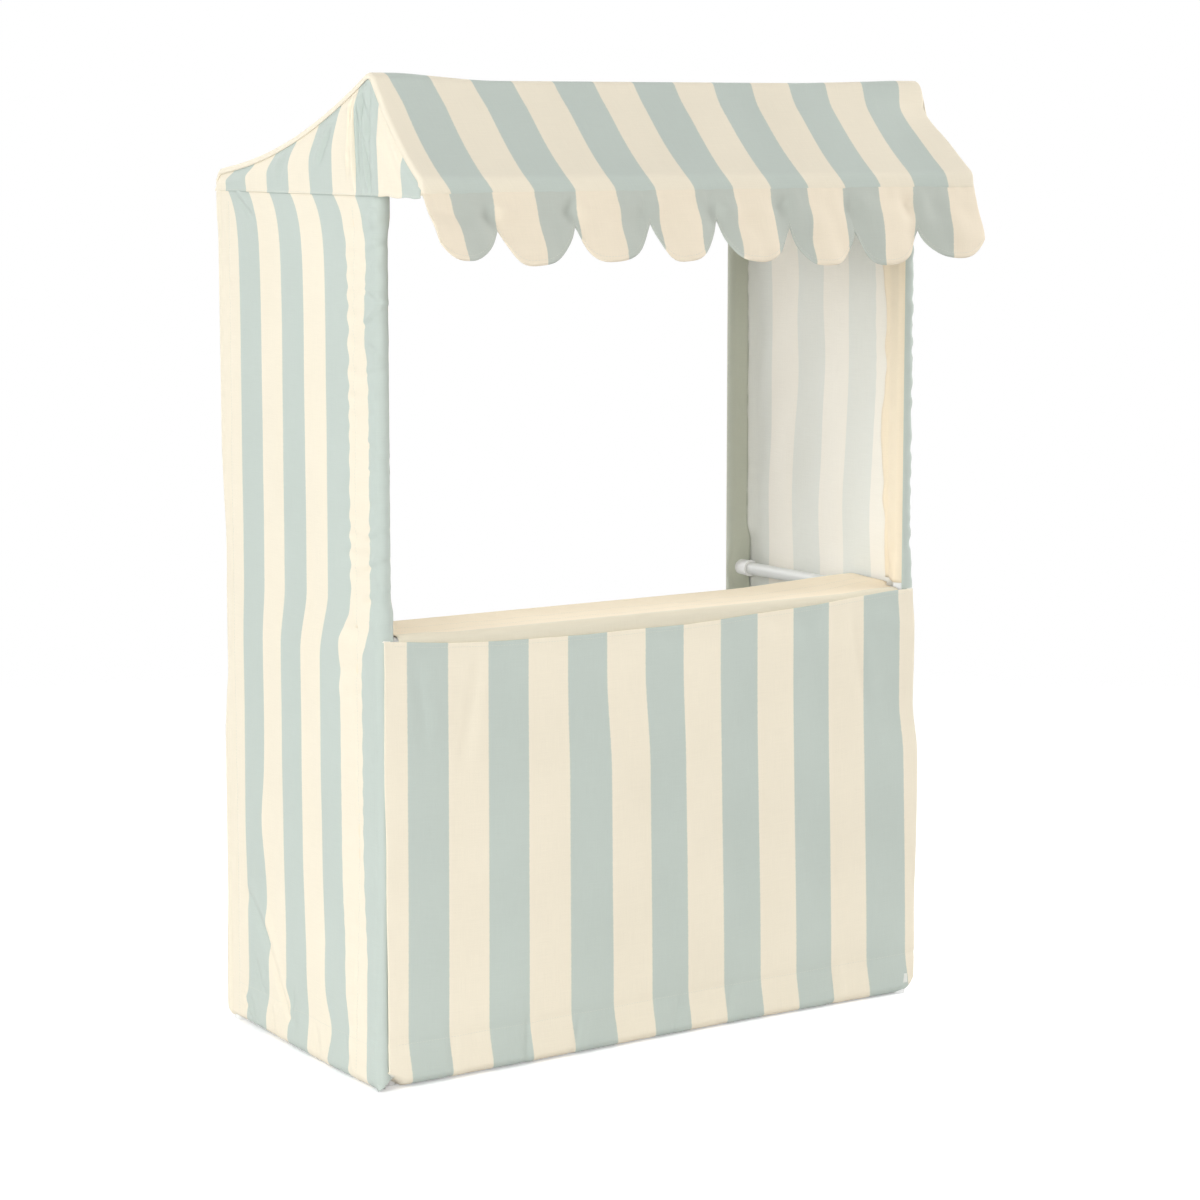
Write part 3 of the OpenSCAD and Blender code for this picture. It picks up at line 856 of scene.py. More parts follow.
def slopeShares(y):
    # from the ridge, 0, to the eave and to the rear rail, 1
    frontT = np.clip((frontY - y) / (frontY - eaveY), 0, 1)
    rearT = np.clip((y - frontY) / (rearY - frontY), 0, 1)
    return frontT, rearT


def leftRise(y):
    # how much higher the cloth lies at the left end
    frontT, rearT = slopeShares(y)
    atRidge = roof["leftLift"] * (1 - frontT) * (1 - rearT)
    return atRidge + roof["rearLift"] * np.sqrt(np.sin(pi * rearT).clip(0, 1))


def rightDip(y):
    # and how much lower at the right end, in front of the ridge
    frontT = slopeShares(y)[0]
    return bell(frontT, 0.32, 0.25) * ease(0.10, 0.30, frontT)


def makeRoof():
    # the side profile carried along x, rolled down at both ends
    line, run = resample(profile, 190)
    tangent = unit(np.gradient(line, axis=0))
    normal = np.stack([tangent[:, 1], -tangent[:, 0]], -1)
    normal = normal * np.sign(normal[len(line) // 2, 1])
    flatCols = 170
    roll = np.linspace(0, math.radians(84), 7)[1:]
    span = roofHalf + 0.5 * mm - roof["edge"]
    rollX = np.concatenate([roof["edge"] * np.sin(roll), roof["edge"] + np.array([0.1, 0.2]) * mm])
    rollDown = np.concatenate([roof["edge"] * (1 - np.cos(roll)), roof["edge"] + np.array([1.5, 3.5]) * mm])
    x = np.concatenate([-span - rollX[::-1], np.linspace(-span, span, flatCols), span + rollX])
    down = np.concatenate([rollDown[::-1], np.zeros(flatCols), rollDown])
    xx = np.broadcast_to(x[None], (len(line), len(x)))
    y = line[:, :1] + 0 * xx
    z = line[:, 1:] + 0 * xx
    fromEnd = roofHalf - np.abs(xx)
    inner = ease(20 * mm, 90 * mm, fromEnd)
    onRidge = bell(np.hypot(y - frontY, z - ridgeZ), clothR, 34 * mm)
    onRear = bell(np.hypot(y - rearY, z - topZ), clothR, 24 * mm)
    frontT, rearT = slopeShares(y)
    slack = np.sin(pi * frontT) + 1.5 * np.sin(pi * rearT)
    dip = ease(25 * mm, 190 * mm, roofHalf + xx) * ease(30 * mm, 240 * mm, roofHalf - xx)
    out = -roof["settle"] * (dip * onRidge + 0.7 * inner * onRear)
    out = out + 1.6 * mm * ripple(xx, run[:, None] * 0.35, 0.15, 41) * slack * inner
    out = out - 1.6 * mm * slack * (xx / roofHalf) ** 2
    out = out + leftRise(y) * (1 - ease(40 * mm, 200 * mm, roofHalf + xx))
    out = out + 0.9 * mm * (1 - ease(40 * mm, 90 * mm, fromEnd))
    out = out - roof["rightSag"] * rightDip(y) * ease(0.72, 1.0, xx / roofHalf)
    out = out - down[None]
    inX = xx - roof["rightIn"] * rightDip(y) * ease(0.85, 1.0, xx / roofHalf)
    y = y + 3 * mm * (z < topZ) * (y > frontY) * (1 - ease(20 * mm, 70 * mm, roofHalf + xx))
    xyz = np.stack([inX, y + normal[:, :1] * out, z + normal[:, 1:] * out], -1)
    flat = xx + np.sign(xx) * down[None] * 0.6
    share = xx / roofHalf
    pull = 11 + share * (9 * ease(0, 0.35, frontT) - 4.5)  # the cloth sits a little to the left
    ahead = 1 - ease(0, 90 * mm, y - frontY)  # fades out behind the ridge
    pull = pull - 5 * (1 - ease(0, 0.35, frontT)) * ease(-0.15, 0.25, share) * ahead
    overEave = ease(run[-1] - 26 * mm, run[-1], run)[:, None]
    pull = (pull - 13 * overEave * (1 - 0.7 * ease(0.5, 1.0, share))) * mm
    uv = np.stack([(flat + pull) * canvas["stripe"] / roof["pitch"], run[:, None] + 0 * xx], -1)
    xyz, uv = xyz[:, ::-1], uv[:, ::-1]
    piece = clothPiece("roof_cloth", xyz, uv, [stripedCanvas, stripedBack], roof["thick"])
    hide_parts("roof_cover")
    cols = np.arange(8, len(x) - 8).astype(float)
    rows = np.full(len(cols), np.interp(9 * mm, run, np.arange(len(run))))
    seam = stitchRow("roof_stitches", [seamOn(xyz, rows, cols)])


makeRoof()

gable = {
    "thick": 1.2 * mm,
    "pitch": 59.8 * mm,
    "seeds": {"left": 61, "right": 67},
    "sageAt": 240.1 * mm,  # y of the middle of the first sage stripe
    "belly": 2.6 * mm,
    "gather": 3.2 * mm,
    "creases": [  # start and end as y and height, width and depth, in mm
        ((-24, 1262), (6, 1218), 4, 4.0), ((92, 1236), (120, 1196), 6, 1.8),
        ((-160, 1262), (-205, 1196), 6, 1.8),
    ],
    "gathers": [  # y in mm at the ridge and at the foot, height of the foot, and width
        (-90, -89, 1190, 1.9), (-106, -126, 1192, 1.9), (-112, -127, 1256, 4.2),
        (-98, -102, 1200, 1.7), (-84, -72, 1205, 2.2),
    ],
    "gatherDepth": 5.2,  # mm
    "lean": 22 * mm,  # how far the stripes' tops lean forward under the roof's edge
}


def makeGable(hand):
    # from the seam or the free hem up to the roof's edge; rows are shares of that height
    side = sideOf[hand]
    seed = gable["seeds"][hand]
    yRear = rearY + clothR + 2.4 * mm
    yFront = eaveY - clothR + 1.5 * mm
    y = steps((yRear, 0), (frontY + 45 * mm, 130), (frontY - 45 * mm, 90), (yFront, 36))
    order = np.argsort(profile[:, 0], kind="stable")
    climb = np.maximum.accumulate(profile[order, 0] + np.arange(len(order)) * 1e-9)
    top = np.interp(y, climb, profile[order, 1]) - 6.5 * mm
    top = top + leftRise(y) if hand == "left" else top - 1.35 * roof["rightSag"] * rightDip(y)
    free = ease(0, 18 * mm, frontY - 14 * mm - y)  # the hem hangs free in front of the post
    sway = 0.8 * mm * np.sin(2 * pi * y / (46 * mm)) * free
    bottom = seamZ - 1.5 * mm + sway + 0.5 * mm * ripple(y, 0 * y, 90 * mm, seed)
    v = np.linspace(0, 1, 44)[:, None]
    z = bottom + (np.maximum(top, bottom + 6 * mm) - bottom) * v
    yy = y + 0 * v
    up = z - seamZ
    bulge = np.sin(pi * np.clip(v * 0.92, 0, 1)) ** 0.8
    nearRidge = bell(yy, frontY + 6 * mm, 30 * mm)
    pleat = np.sin(2 * pi * (yy - frontY) / (14 * mm + 0.05 * up))
    out = gable["belly"] * bulge + gable["gather"] * pleat * nearRidge * (0.25 + 0.75 * v)
    out = out + 0.9 * mm * ripple(yy, z, 85 * mm, seed + 1) * bulge
    if hand == "left":
        out = addCreases(out, yy, z, gable["creases"])
        start = ridgeZ / mm - 8
        for upper, lower, foot, width in gable["gathers"]:
            out = addCreases(out, yy, z, [((upper, start), (lower, foot), width, gable["gatherDepth"])])
    under = ease(0, 16 * mm, (1 - v) * (top - bottom))  # goes in under the roof's edge
    out = out * under - 1.1 * mm * (1 - under)
    out = out + 1.2 * mm * (1 - ease(0, 6 * mm, v * (top - bottom)))
    edge = postX + clothR + 0.3 * mm * (1 - v)
    edge = edge - (roof["rightIn"] * rightDip(y) if hand == "right" else 0)
    x = side * (edge + out)
    xyz = np.stack([x, yy, z], -1)
    lean = gable["lean"] * ease(0.45, 1.0, v) ** 1.5 * ease(0, 60 * mm, yy - frontY)
    u = (gable["sageAt"] - (yy + lean)) * canvas["stripe"] / gable["pitch"]
    if hand == "right":
        u = u + 0.4 * canvas["stripe"]
    uv = np.stack([u, z], -1)
    if hand == "right":
        xyz, uv = xyz[:, ::-1], uv[:, ::-1]
    name = "gable_cloth_" + hand
    piece = clothPiece(name, xyz, uv, [stripedCanvas, stripedBack], gable["thick"])
    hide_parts("gable_" + hand)
    rise = 2.5 * mm / np.maximum(top - bottom, 12 * mm)
    cols = np.arange(3, len(y) - 4).astype(float)
    rows = (rise if hand == "left" else rise[::-1])[3:-4] * (len(v) - 1)
    seam = stitchRow("gable_stitches_" + hand, [seamOn(xyz, rows, cols)])
    size = (float(yRear - yFront), float(top.max() - bottom.min()))
    area = float(np.sum((top - bottom)[1:] * -np.diff(y)))
    print(name, np.round(size, 3), round(area, 4))


for hand in hands:
    makeGable(hand)

valance = {
    "notches": [-345, -226, -107, 1, 118, 227, 339],  # mm from the middle
    "notchDrop": [50, 46, 44, 41, 53, 61.5, 61],  # mm from the seam down to each notch
    "endDrop": [76, 78],
    "bottomDrop": [94, 98, 95, 97, 101, 109, 110, 104],
    "thick": 2.4 * mm,
    "cord": 1.2 * mm,
    "lean": 13.0,  # degrees outwards
    "flare": 25.0,  # more at the left end
    "flareRight": 6.0,
    "flareLength": 55 * mm,
    "belly": 9.0 * mm,
    "dent": 5.0 * mm,  # where each notch is drawn up
    "swelling": 3.4 * mm,  # beside it
    "pitch": 62.5 * mm,
}


def valanceDrop(x):
    # full rounded bows between the notches, each hung from the line that joins its two notches
    half = roofHalf
    marks = np.array([-half] + [n * mm for n in valance["notches"]] + [half])
    ends = np.array([valance["endDrop"][0]] + valance["notchDrop"] + [valance["endDrop"][1]]) * mm
    deep = np.array(valance["bottomDrop"]) * mm
    k = np.clip(np.searchsorted(marks, x, side="right") - 1, 0, len(deep) - 1)
    share = np.clip((x - marks[k]) / (marks[k + 1] - marks[k]), 0, 1)
    base = ends[k] + (ends[k + 1] - ends[k]) * share
    before = 1 - np.clip(1 - share / 0.43, 0, 1) ** 3.1
    after = 1 - np.clip((share - 0.43) / 0.57, 0, 1) ** 2.7
    bow = np.where(share < 0.43, before, after)
    return base + (deep[k] - (ends[k] + ends[k + 1]) / 2) * bow, share, k


def makeValance():
    # x along the eave, v down from the corded edge; front and lining meet in a rounded rim
    half = roofHalf - 0.6 * mm
    marks = np.array([-half] + [n * mm for n in valance["notches"]] + [half])
    pieces = []
    for start, end in zip(marks, marks[1:]):
        t = (1 - np.cos(np.linspace(0, pi, 23))) / 2
        pieces.append((start + (end - start) * (0.35 * np.linspace(0, 1, 23) + 0.65 * t))[:-1])
    x = np.concatenate(pieces + [[half]])
    drop, share, k = valanceDrop(x)
    v = np.linspace(0, 1, 26)[:, None]
    down = drop * v
    bow = np.sin(pi * share)
    rng = np.random.default_rng(77)
    tilt = rng.uniform(-1, 1, 8)[k]
    lean = valance["lean"] + valance["flare"] * np.exp(-(x + half) / valance["flareLength"])
    lean = np.radians(lean + valance["flareRight"] * np.exp(-(half - x) / valance["flareLength"]))
    belly = valance["belly"] * bow * np.sin(0.5 * pi * np.clip(down / (90 * mm), 0, 1)) ** 1.3
    belly = belly + 1.6 * mm * tilt * np.sin(2 * pi * share) * v
    small = 2.6 * mm * ripple(x + 0 * v, down * 0.8, 46 * mm, 78) * ease(0, 0.4, v)
    out = belly + small + 0.6 * mm * ripple(x + 0 * v, down, 21 * mm, 79) * bell(down, 9 * mm, 8 * mm)
    for notch in valance["notches"]:
        sideways, height = rng.uniform(-4, 4, 2) * mm
        at = notch * mm + sideways
        dent = bell(x, at - 11 * mm, 12 * mm) * bell(down, 29 * mm + height, 15 * mm)
        swelling = bell(x, at + 14 * mm, 12 * mm) * bell(down, 24 * mm + height, 12 * mm)
        out = out - valance["dent"] * dent + valance["swelling"] * swelling
    y = hingeY - down * np.sin(lean) - out * np.cos(lean)
    z = hingeZ - down * np.cos(lean) + out * np.sin(lean)
    xx = x + 0 * v
    front = np.stack([xx, y, z], -1)
    normals = -gridNormals(front)  # outwards
    rimRound = np.sqrt(np.clip(1 - ease(0, 1, (v - 0.985) / 0.015) ** 2, 0.2, 1))
    thick = valance["thick"] + (2 * valance["cord"] - valance["thick"]) * (1 - ease(0, 5 * mm, down))
    depth = (thick * rimRound)[..., None]
    hemLine = 0.35 * mm * bell((1 - v) * drop, 7 * mm, 1.6 * mm)[..., None]
    outer = front + normals * (depth / 2 - hemLine)
    inner = front - normals * depth / 2
    rows, cols = xx.shape
    # front down, lining up again, closed at the cord by a half round
    topTurn = np.linspace(0, pi, 7)[1:-1]
    upward = np.array([0, 0, 1.0])
    capCentre = front[0]
    cap = [capCentre + valance["cord"] * (np.cos(a) * -normals[0] + np.sin(a) * upward) for a in topTurn]
    ring = np.concatenate([outer, inner[::-1], np.stack(cap)], 0)
    right = np.clip(xx / half, 0, 1)
    sway = 6 * (xx / half) ** 2 + 3 * right - 1 + (down / mm - 6) * (0.05 + 0.15 * right)
    jog = (xx + sway * mm - 0.05 * down) * canvas["stripe"] / valance["pitch"]
    run = -down
    capRun = np.repeat(run[:1], len(cap), 0) + 1 * mm
    face = np.stack([jog, run], -1)
    uv = np.concatenate([face, face[::-1], np.stack([jog[: len(cap)], capRun], -1)], 0)
    faces = gridFaces(ring.shape[0], cols)
    index = np.arange(ring.shape[0] * cols).reshape(ring.shape[0], cols)
    closing = np.stack([index[-1, :-1], index[-1, 1:], index[0, 1:], index[0, :-1]], -1)
    faces = np.concatenate([faces, closing])
    edgeFaces = []
    for c, order in ((0, slice(None)), (cols - 1, slice(None, None, -1))):
        near = index[: rows, c]
        far = index[rows : 2 * rows, c][::-1]
        strip = np.stack([near[:-1], near[1:], far[1:], far[:-1]], -1)
        edgeFaces.append(strip[:, order])
    faces = np.concatenate([faces] + edgeFaces)
    faces = faces[:, ::-1]
    cloths = [linedCanvas, creamCanvas]
    piece = putMesh("valance_cloth", ring.reshape(-1, 3), faces, cloths, uv.reshape(-1, 2))
    lining = np.zeros(len(faces), np.int32)
    perRow = cols - 1
    lining[rows * perRow : (2 * rows - 1) * perRow] = 1
    piece.data.polygons.foreach_set("material_index", lining)
    piece.data.update()
    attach(piece, "valance")
    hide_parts("valance")
    inset = np.clip(1 - 7 * mm / drop, 0, 1) * (rows - 1)
    at = np.arange(2, cols - 2).astype(float)
    line = (onGrid(outer, inset[2:-2], at), onGrid(normals, inset[2:-2], at))
    seam = stitchRow("valance_stitches", [line], "valance")
    area = float(((drop[1:] + drop[:-1]) / 2 * np.diff(x)).sum())


makeValance()

frontCloth = {
    "half": 443 * mm,
    "thick": 1.3 * mm,
    "stand": clothR + 1.8 * mm,  # outer face, out from the front posts' axes
    "topStand": (14.0 * mm, 17.0 * mm),  # the top edge leans on the counter cloth: middle and ends
    "seam": [  # mm from the middle, and the top edge over the counter rail's axis
        (-443, 8.7), (-342, -1.8), (-280, -5.4), (-158, -8.5), (-20, -9), (95, -7.4),
        (159, -4.3), (222, -1.4), (288, 1.8), (348, 6.2), (408, 11.9), (443, 10),
    ],
    "hem": 14 * mm,
    "fold": 1.1 * mm,
    "folds": 6,
    "foldDepth": 6.5 * mm,
    "belly": 5 * mm,
    "pocket": 45 * mm,
    "pitch": 63 * mm,
    "splay": (-9 * mm, -21 * mm),  # the lower left corner stands out with the side cloth
    "cut": (17 * mm, 27 * mm),  # height and length of the drawn-up lower left corner
    "round": 21 * mm,  # radius of the lower right corner
    "turned": 9 * mm,  # width of the edges turned in at both sides
    "allow": 0.67,  # how far a fold shifts the stripes, for each mm that it stands out
    "creases": [  # start and end, width and depth, in mm
        ((-400, 580), (-380, 465), 9, 2.2), ((-300, 567), (-322, 435), 10, 2.0),
        ((330, 580), (352, 450), 9, 2.2), ((-228, 72), (-226, 4), 5, 2.6),
        ((-140, 60), (-150, 6), 5, 1.8), ((120, 66), (112, 6), 6, 1.8),
        ((300, 70), (310, 6), 6, 2.0), ((-350, 70), (-345, 6), 6, 2.0), ((30, 60), (24, 8), 5, 1.6),
    ],
}


def frontCorners(x, z):
    # the lower left corner is cut off slantwise and the lower right one rounded
    look = frontCloth
    left = look["cut"][0] * np.clip(1 - (x + look["half"]) / look["cut"][1], 0, 1)
    inRound = np.clip(x - look["half"] + look["round"], 0, look["round"])
    right = look["round"] - np.sqrt(look["round"] ** 2 - inRound ** 2)
    lift = np.maximum(left, right)
    return np.where(z < look["pocket"], lift + z * (1 - lift / look["pocket"]), z)


def makeFrontCloth():
    # a folded top edge, down the front, round the floor rail and up to the hem's seam
    look = frontCloth
    half = look["half"]
    fold = look["fold"]
    # columns: a narrow turned edge, the front, a narrow turned edge
    roll = np.linspace(0, pi, 7)[1:-1]
    middleX = np.linspace(-half + fold, half - fold, 200)
    turned = np.linspace(look["turned"], 0, 4)
    leftX = np.concatenate([-half + fold + turned, -half + fold - fold * np.sin(roll)])
    x = np.concatenate([leftX, middleX, -leftX[::-1]])
    leftBehind = np.concatenate([np.full(4, 2 * fold), fold * (1 + np.cos(roll))])
    behind = np.concatenate([leftBehind, 0 * middleX, leftBehind[::-1]])
    leftFlat = np.concatenate([-half - turned - 1.2 * mm, np.linspace(-1, 0, 5) * mm - half])
    flatX = np.concatenate([leftFlat, middleX, -leftFlat[::-1]])
    at, rise = np.array(look["seam"]).T * mm
    smoothX = x[None] + np.linspace(-25, 25, 11)[:, None] * mm
    top = counterZ + np.interp(smoothX, at, rise).mean(0) + 0.6 * mm * ripple(x, 0 * x, 0.12, 88)
    # rows: folded hem behind, fold, front, bottom turn, back of the hem pocket
    hemRows = np.linspace(-look["hem"], 0, 4)[:-1, None]
    foldRows = np.linspace(0, pi, 7)[:, None]
    downRows = np.linspace(0, 1, 128)[1:, None]
    arcRows = np.linspace(0, math.radians(205), 20)[1:, None]
    runRows = np.linspace(0, 1, 9)[1:, None]
    xx = x[None]
    z3 = top + (floorZ - top) * downRows
    u = np.clip(xx / (2 * half) + 0.5, 0, 1)
    v = np.clip(z3 / (counterZ - 10 * mm), 0, 1)
    swell = np.sin(pi * u) * np.sin(pi * v)
    pleats = (1 - np.cos(2 * pi * (look["folds"] * u + 0.5 * v * (1 - v)))) / 2
    out = look["foldDepth"] * swell * pleats + look["belly"] * swell ** 0.7
    out = out + 2.0 * mm * ripple(xx, z3 * 0.6, 0.13, 81) * np.sin(pi * v) ** 0.5
    out = out + 1.5 * mm * ripple(xx, z3, 0.055, 82) * bell(z3, 0.578, 0.035)
    out = addCreases(out, xx, z3, look["creases"])
    out = out - 0.9 * mm * bell(z3, floorZ + look["pocket"], 4 * mm)
    held = bell(top - z3, 0, 30 * mm)  # flat along the counter's edge
    out = np.maximum(out, 0) * (1 - 0.6 * held) + np.minimum(out, 0) * (1 - held)
    middleStand, endStand = look["topStand"]
    topStand = middleStand + (endStand - middleStand) * ease(0.32, 0.394, np.abs(xx))
    stand = topStand + (look["stand"] - topStand) * ease(0, 70 * mm, top - z3)
    settle = 1.8 * mm * (1 - ease(30 * mm, 95 * mm, z3))
    y3 = -stand - out + settle
    y1 = -topStand + 2 * fold - out[:1] + 0 * hemRows
    y2 = -topStand + fold * (1 + np.cos(foldRows)) - out[:1]
    corner = ease(0, 34 * mm, half - np.abs(x))  # the hem hangs open at both lower corners
    angle = arcRows * (0.35 + 0.65 * corner)
    y4 = y3[-1] + clothR * (1 - np.cos(angle))
    z4 = z3[-1] - clothR * np.sin(angle)
    goalY = -look["stand"] + 2.0 * mm + look["thick"]
    goalZ = floorZ + look["pocket"] * corner
    y5 = y4[-1] + (goalY - y4[-1]) * runRows
    z5 = z4[-1] + (goalZ - z4[-1]) * runRows
    y = frontY + np.concatenate([y1, y2, y3, y4, y5], 0) + behind
    z = np.concatenate([top + hemRows, top + fold * np.sin(foldRows), z3, z4, z5], 0)
    apart = np.hypot(np.diff(y, axis=0), np.diff(z, axis=0))
    run = np.concatenate([np.zeros((1, len(x))), np.cumsum(apart, 0)], 0)
    splay = (1 - ease(-half, 200 * mm, xx)) * (1 - ease(0, sideCloth["splayHeight"], z)) ** 1.2
    onward = np.ones((len(z) - len(arcRows) - len(runRows), 1))
    weights = [onward, 1 - ease(0, 1, arcRows / arcRows[-1]), runRows]
    onRail = splay * np.concatenate(weights)  # the pocket's back stays round the rail
    wider = 4 * mm * (1 - ease(0.55, 0.60, z)) + 8 * mm * (1 - ease(0.36, 0.44, z))
    narrow = np.ones((len(z), 1))
    narrow[: len(hemRows) + 2] = 1 - 4 * mm / half
    spread = xx * narrow + wider * ease(0.75, 1.0, xx / half) + look["splay"][0] * splay
    xyz = np.stack([spread, y + look["splay"][1] * onRail, frontCorners(xx, z)], -1)
    share = np.clip(xx / half, -1, 1)
    pull = 1 + ease(-0.75, 0.6, share) * (15.5 - 10 * ease(0.025, 0.525, z))
    pull = pull + 8.5 * bell(share, -0.12, 0.22) * (1 - ease(0.385, 0.535, z))
    pull = (pull + 7 * (1 - ease(0, 0.07, z)) - 5.7 * splay) * mm
    proud = np.clip(frontY - look["stand"] - y, -4 * mm, 20 * mm)
    # seen from the front corner a fold shifts its stripes, so the cut allows for it
    pull = pull - look["allow"] * proud
    uv = np.stack([(flatX[None] - pull) * canvas["stripe"] / look["pitch"], -run], -1)
    xyz, uv = xyz[::-1], uv[::-1]
    piece = clothPiece("front_cloth", xyz, uv, [stripedCanvas, stripedBack], look["thick"])
    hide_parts("front_panel", "front_hem_pocket")
    cols = np.arange(12, len(x) - 12).astype(float)
    first = len(hemRows) + len(foldRows)
    height = float(top.mean()) - floorZ
    lines = []
    for depth in (5 * mm, height - look["pocket"]):
        rows = np.full(len(cols), len(z) - first - depth * len(downRows) / height)
        lines.append(seamOn(xyz, rows, cols))
    seam = stitchRow("front_stitches", lines)


counterCloth = {
    "half": 419 * mm,
    "spread": 24 * mm,  # the rear corners reach out over the tees
    "thick": 1.1 * mm,
    "lip": 26 * mm,
    "sag": 4 * mm,
    "pocket": 45 * mm,
    "hug": 11.6 * mm,  # outer radius round the bare rails
    "frontEnd": 14.9 * mm,  # over the front connectors
    "rearEnd": 19.5 * mm,  # over the tees at the rear corners
    "square": 3.2,  # 2 would make the front edge round
    "teeFrom": 421 * mm,  # from here outwards the cloth lies on the tees
    "teeTop": 13.9 * mm,
    "pocketThick": 0.8 * mm,
}


def makeCounterCloth():
    # lip, front roll over the rail, sagging top, rear roll and back under to its seam
    look = counterCloth
    x = np.linspace(-look["half"], look["half"], 168)[None]
    away = np.abs(x)
    frontR = look["hug"] + (look["frontEnd"] - look["hug"]) * ease(0.32, 0.394, away)
    rearR = look["hug"] + (look["rearEnd"] - look["hug"]) * ease(np.where(x < 0, 0.36, 0.20), 0.45, away)
    lip = np.linspace(-look["lip"], 0, 6)[:-1, None]
    front = np.linspace(pi, pi / 2, 15)[:, None]
    t = np.linspace(0, 1, 62)[1:-1, None]
    rear = np.linspace(pi / 2, -math.radians(125), 26)[:, None]
    under = np.linspace(0, 1, 16)[1:, None]
    topR = frontR + (rearR - frontR) * ease(0, 0.35, t)
    sag = look["sag"] * (1 - ease(0.33, 0.42, away))
    power = look["square"]
    boxy = (np.abs(np.cos(front)) ** power + np.abs(np.sin(front)) ** power) ** (-1 / power)
    topY = frontY + (counterRearY - frontY) * t + 0 * x
    wrinkle = 0.7 * mm * ripple(x, topY * 0.8 + 0.3 * x, 30 * mm, 91) * bell(t, 0.8, 0.22)
    wrinkle = wrinkle + 0.8 * mm * ripple(x, topY, 0.11, 92)
    wrinkle = wrinkle + 0.5 * mm * ripple(x, 0 * x, 60 * mm, 93) * bell(t, 0, 0.2)
    topLine = topR - 4 * sag * t * (1 - t) + wrinkle * np.sin(pi * t) ** 0.5 - 0.9 * mm * bell(t, 0.02, 0.02)
    turnY = counterRearY + rearR * np.cos(rear)
    turnZ = rearR * np.sin(rear)
    goalY = counterRearY - look["pocket"]
    seamRow = 38  # the row of the top where the rear pocket is sewn down
    goalZ = topR[seamRow] - sag * 0.9 - 2 * look["thick"] - 2.2 * mm
    frontEdge = frontR * boxy
    backY = turnY[-1] + (goalY - turnY[-1]) * under
    backZ = turnZ[-1] + (goalZ - turnZ[-1]) * under
    y = np.concatenate([frontY - frontR + 0 * lip, frontY + frontEdge * np.cos(front), topY, turnY, backY])
    z = np.concatenate([lip + 0 * x, frontEdge * np.sin(front), topLine, turnZ, backZ])
    widens = 0.5 * ease(0.10, 0.25, t) + 0.5 * ease(0.25, 0.9, t)
    out = np.concatenate([0 * lip, 0 * front, widens, ease(pi / 4, pi / 2, rear), 0 * under])
    xx = x + np.sign(x) * look["spread"] * (away / look["half"]) ** 5 * out
    overTee = (np.abs(xx) > look["teeFrom"]) & (out > 0)
    z = np.where(overTee, np.maximum(z, look["teeTop"]), z)
    xyz = np.stack([xx, y, counterZ + z], -1)
    centre = x.size // 2
    run = runAlong(xyz[:, centre, 1:])
    uv = np.stack(np.broadcast_arrays(xx, run[:, None]), -1)
    # the second cloth is the darker cream, painted shade along the front edge
    piece = clothPiece("counter_cloth", xyz, uv, [creamCanvas, shadedBandCanvas], look["thick"])
    piece.modifiers["cloth_layer"].material_offset = 0
    first = len(lip) + len(front)
    banded = np.zeros((len(y) - 1, x.size - 1), np.int32)
    banded[:first] = 1  # the lip and front roll, in a darker cream that is painted shade
    piece.data.polygons.foreach_set("material_index", banded.ravel())
    piece.data.update()
    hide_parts("counter_cover")
    # the strip that closes the front rail's pocket from below
    angle = np.linspace(-pi, -math.radians(60), 24)[:, None]
    inner = frontR - look["thick"] - 0.1 * mm
    arcY = frontY + inner * np.cos(angle)
    arcZ = inner * np.sin(angle)
    tail = np.linspace(0, 1, 14)[1:, None]
    tailY = arcY[-1] + (frontY + look["pocket"] - arcY[-1]) * tail
    tailZ = arcZ[-1] + (frontR - look["sag"] * 0.95 - 2.2 * look["thick"] - arcZ[-1]) * tail
    stripY = np.concatenate([arcY, tailY])
    stripZ = np.concatenate([arcZ, tailZ])
    stripRun = runAlong(np.stack([stripY[:, centre], stripZ[:, centre]], -1))
    strip = np.stack([x + 0 * stripY, stripY, counterZ + stripZ], -1)[:, ::-1]
    stripUv = np.stack(np.broadcast_arrays(x, stripRun[:, None]), -1)[:, ::-1]
    pocket = clothPiece("counter_pocket", strip, stripUv, [creamCanvas], look["pocketThick"])
    cols = np.arange(4, x.size - 4).astype(float)
    topRows = np.arange(first, first + len(t))
    lines = []
    for at in (counterRearY - look["pocket"], frontY + look["pocket"]):
        rows = np.full(len(cols), np.interp(at, y[topRows, centre], topRows))
        lines.append(seamOn(xyz, rows, cols))
    seam = stitchRow("counter_stitches", lines)


makeCounterCloth()
makeFrontCloth()

studio = {
    "floorRadius": 6.0,
    "floorGrey": (0.80, 0.80, 0.80, 1),
    "floorGlow": 0.34,
    "fadeFrom": 1.0,  # the floor fades out from here
    "fadeOver": 2.2,
    "ambient": (1, 1, 1, 1),
    "ambientLevel": 0.285,
    "aim": (0, 0, 0.7),  # where the lamps point
}


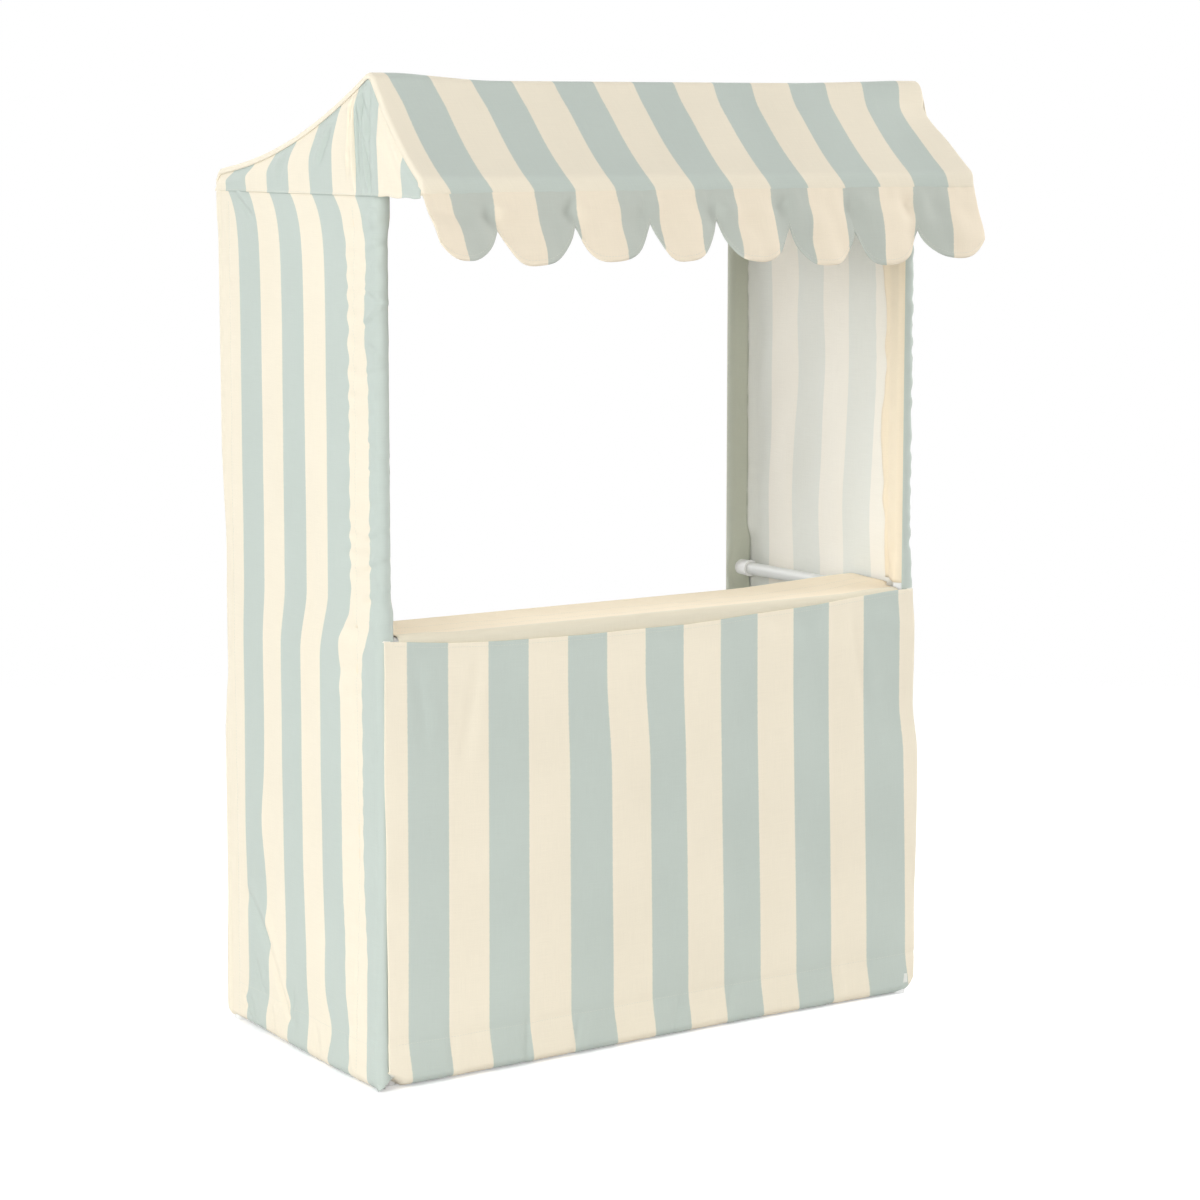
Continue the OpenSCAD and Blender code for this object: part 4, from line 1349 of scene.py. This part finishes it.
def makeFloor():
    # a disc on a polar grid that fades out to the white background
    material, wire = newMaterial("studio_floor")
    place = wire.node("TexCoord", None, None, "Object")
    far = wire.node("VectorMath", {"operation": "LENGTH"}, {0: place}, "Value")
    fade = ((far - studio["fadeFrom"]) / studio["fadeOver"]).clamp()
    seen = wire.node("LightPath", None, None, "Is Camera Ray")
    diffuse = wire.node("BsdfDiffuse", None, {"Color": studio["floorGrey"]})
    glow = wire.node("Emission", None, {"Color": (1, 1, 1, 1), "Strength": seen * studio["floorGlow"]})
    lit = wire.node("AddShader", None, {0: diffuse, 1: glow})
    clear = wire.node("BsdfTransparent")
    shader = wire.node("MixShader", None, {0: fade, 1: lit, 2: clear})
    wire.node("OutputMaterial", None, {"Surface": shader})
    radius = np.linspace(0.001, studio["floorRadius"], 12)
    turn = np.linspace(0, 2 * pi, 65)
    rr, tt = np.meshgrid(radius, turn)
    points = np.stack([rr * np.cos(tt), rr * np.sin(tt), 0 * rr - 0.4 * mm], -1)
    floor = putMesh("studio_floor", points.reshape(-1, 3), gridFaces(*rr.shape), [material])


def makeWorld():
    # white to the camera and in reflections, a soft even fill for the light on the cloth
    world = bpy.data.worlds.new("studio_world")
    world.use_nodes = True
    world.node_tree.nodes.clear()
    wire = Wire(world.node_tree)
    seen = wire.node("LightPath", None, None, "Is Camera Ray")
    white = (seen + seen.other("Is Glossy Ray") + seen.other("Is Transmission Ray")).clamp()
    fill = wire.node("Background", None, {"Color": studio["ambient"], "Strength": studio["ambientLevel"]})
    plain = wire.node("Background", None, {"Color": (1, 1, 1, 1), "Strength": 1.0})
    shader = wire.node("MixShader", None, {0: white, 1: fill, 2: plain})
    wire.node("OutputWorld", None, {"Surface": shader})
    scene.world = world


lamps = {
    "key_left": {"place": (-3.4, -1.4, 2.3), "size": 2.4, "watts": 43.6, "colour": (0.96, 1.0, 1.02)},
    "low_left": {"place": (-3.6, -0.7, 0.9), "size": 1.6, "watts": 22.6, "colour": (0.96, 1.0, 1.02)},
    "by_camera": {"place": (-2.4, -3.9, 1.3), "size": 1.8, "watts": 70, "colour": (1, 1, 1)},
    "right": {"place": (3.4, -1.0, 2.2), "size": 2.4, "watts": 106, "colour": (1, 1, 1)},
    "behind": {"place": (-1.6, 3.4, 2.2), "size": 2.4, "watts": 68, "colour": (1, 1, 1)},
    "over_front": {"place": (-1.8, -2.0, 3.4), "size": 1.6, "watts": 7, "colour": (1, 1, 1)},
    "over_back": {"place": (0.2, 2.4, 3.2), "size": 1.6, "watts": 34, "colour": (1, 1, 1)},
}


def makeLamps():
    # soft round lamps that all point at the same place
    for name, look in lamps.items():
        lamp = bpy.data.lights.new(name, "AREA")
        lamp.shape = "DISK"
        lamp.size = look["size"]
        lamp.energy = look["watts"]
        lamp.color = look["colour"]
        holder = bpy.data.objects.new(name, lamp)
        holder.location = look["place"]
        aim = Vector(studio["aim"]) - holder.location
        holder.rotation_euler = aim.to_track_quat("-Z", "Y").to_euler()
        scene.collection.objects.link(holder)


makeFloor()
makeWorld()
makeLamps()
print("studio done")
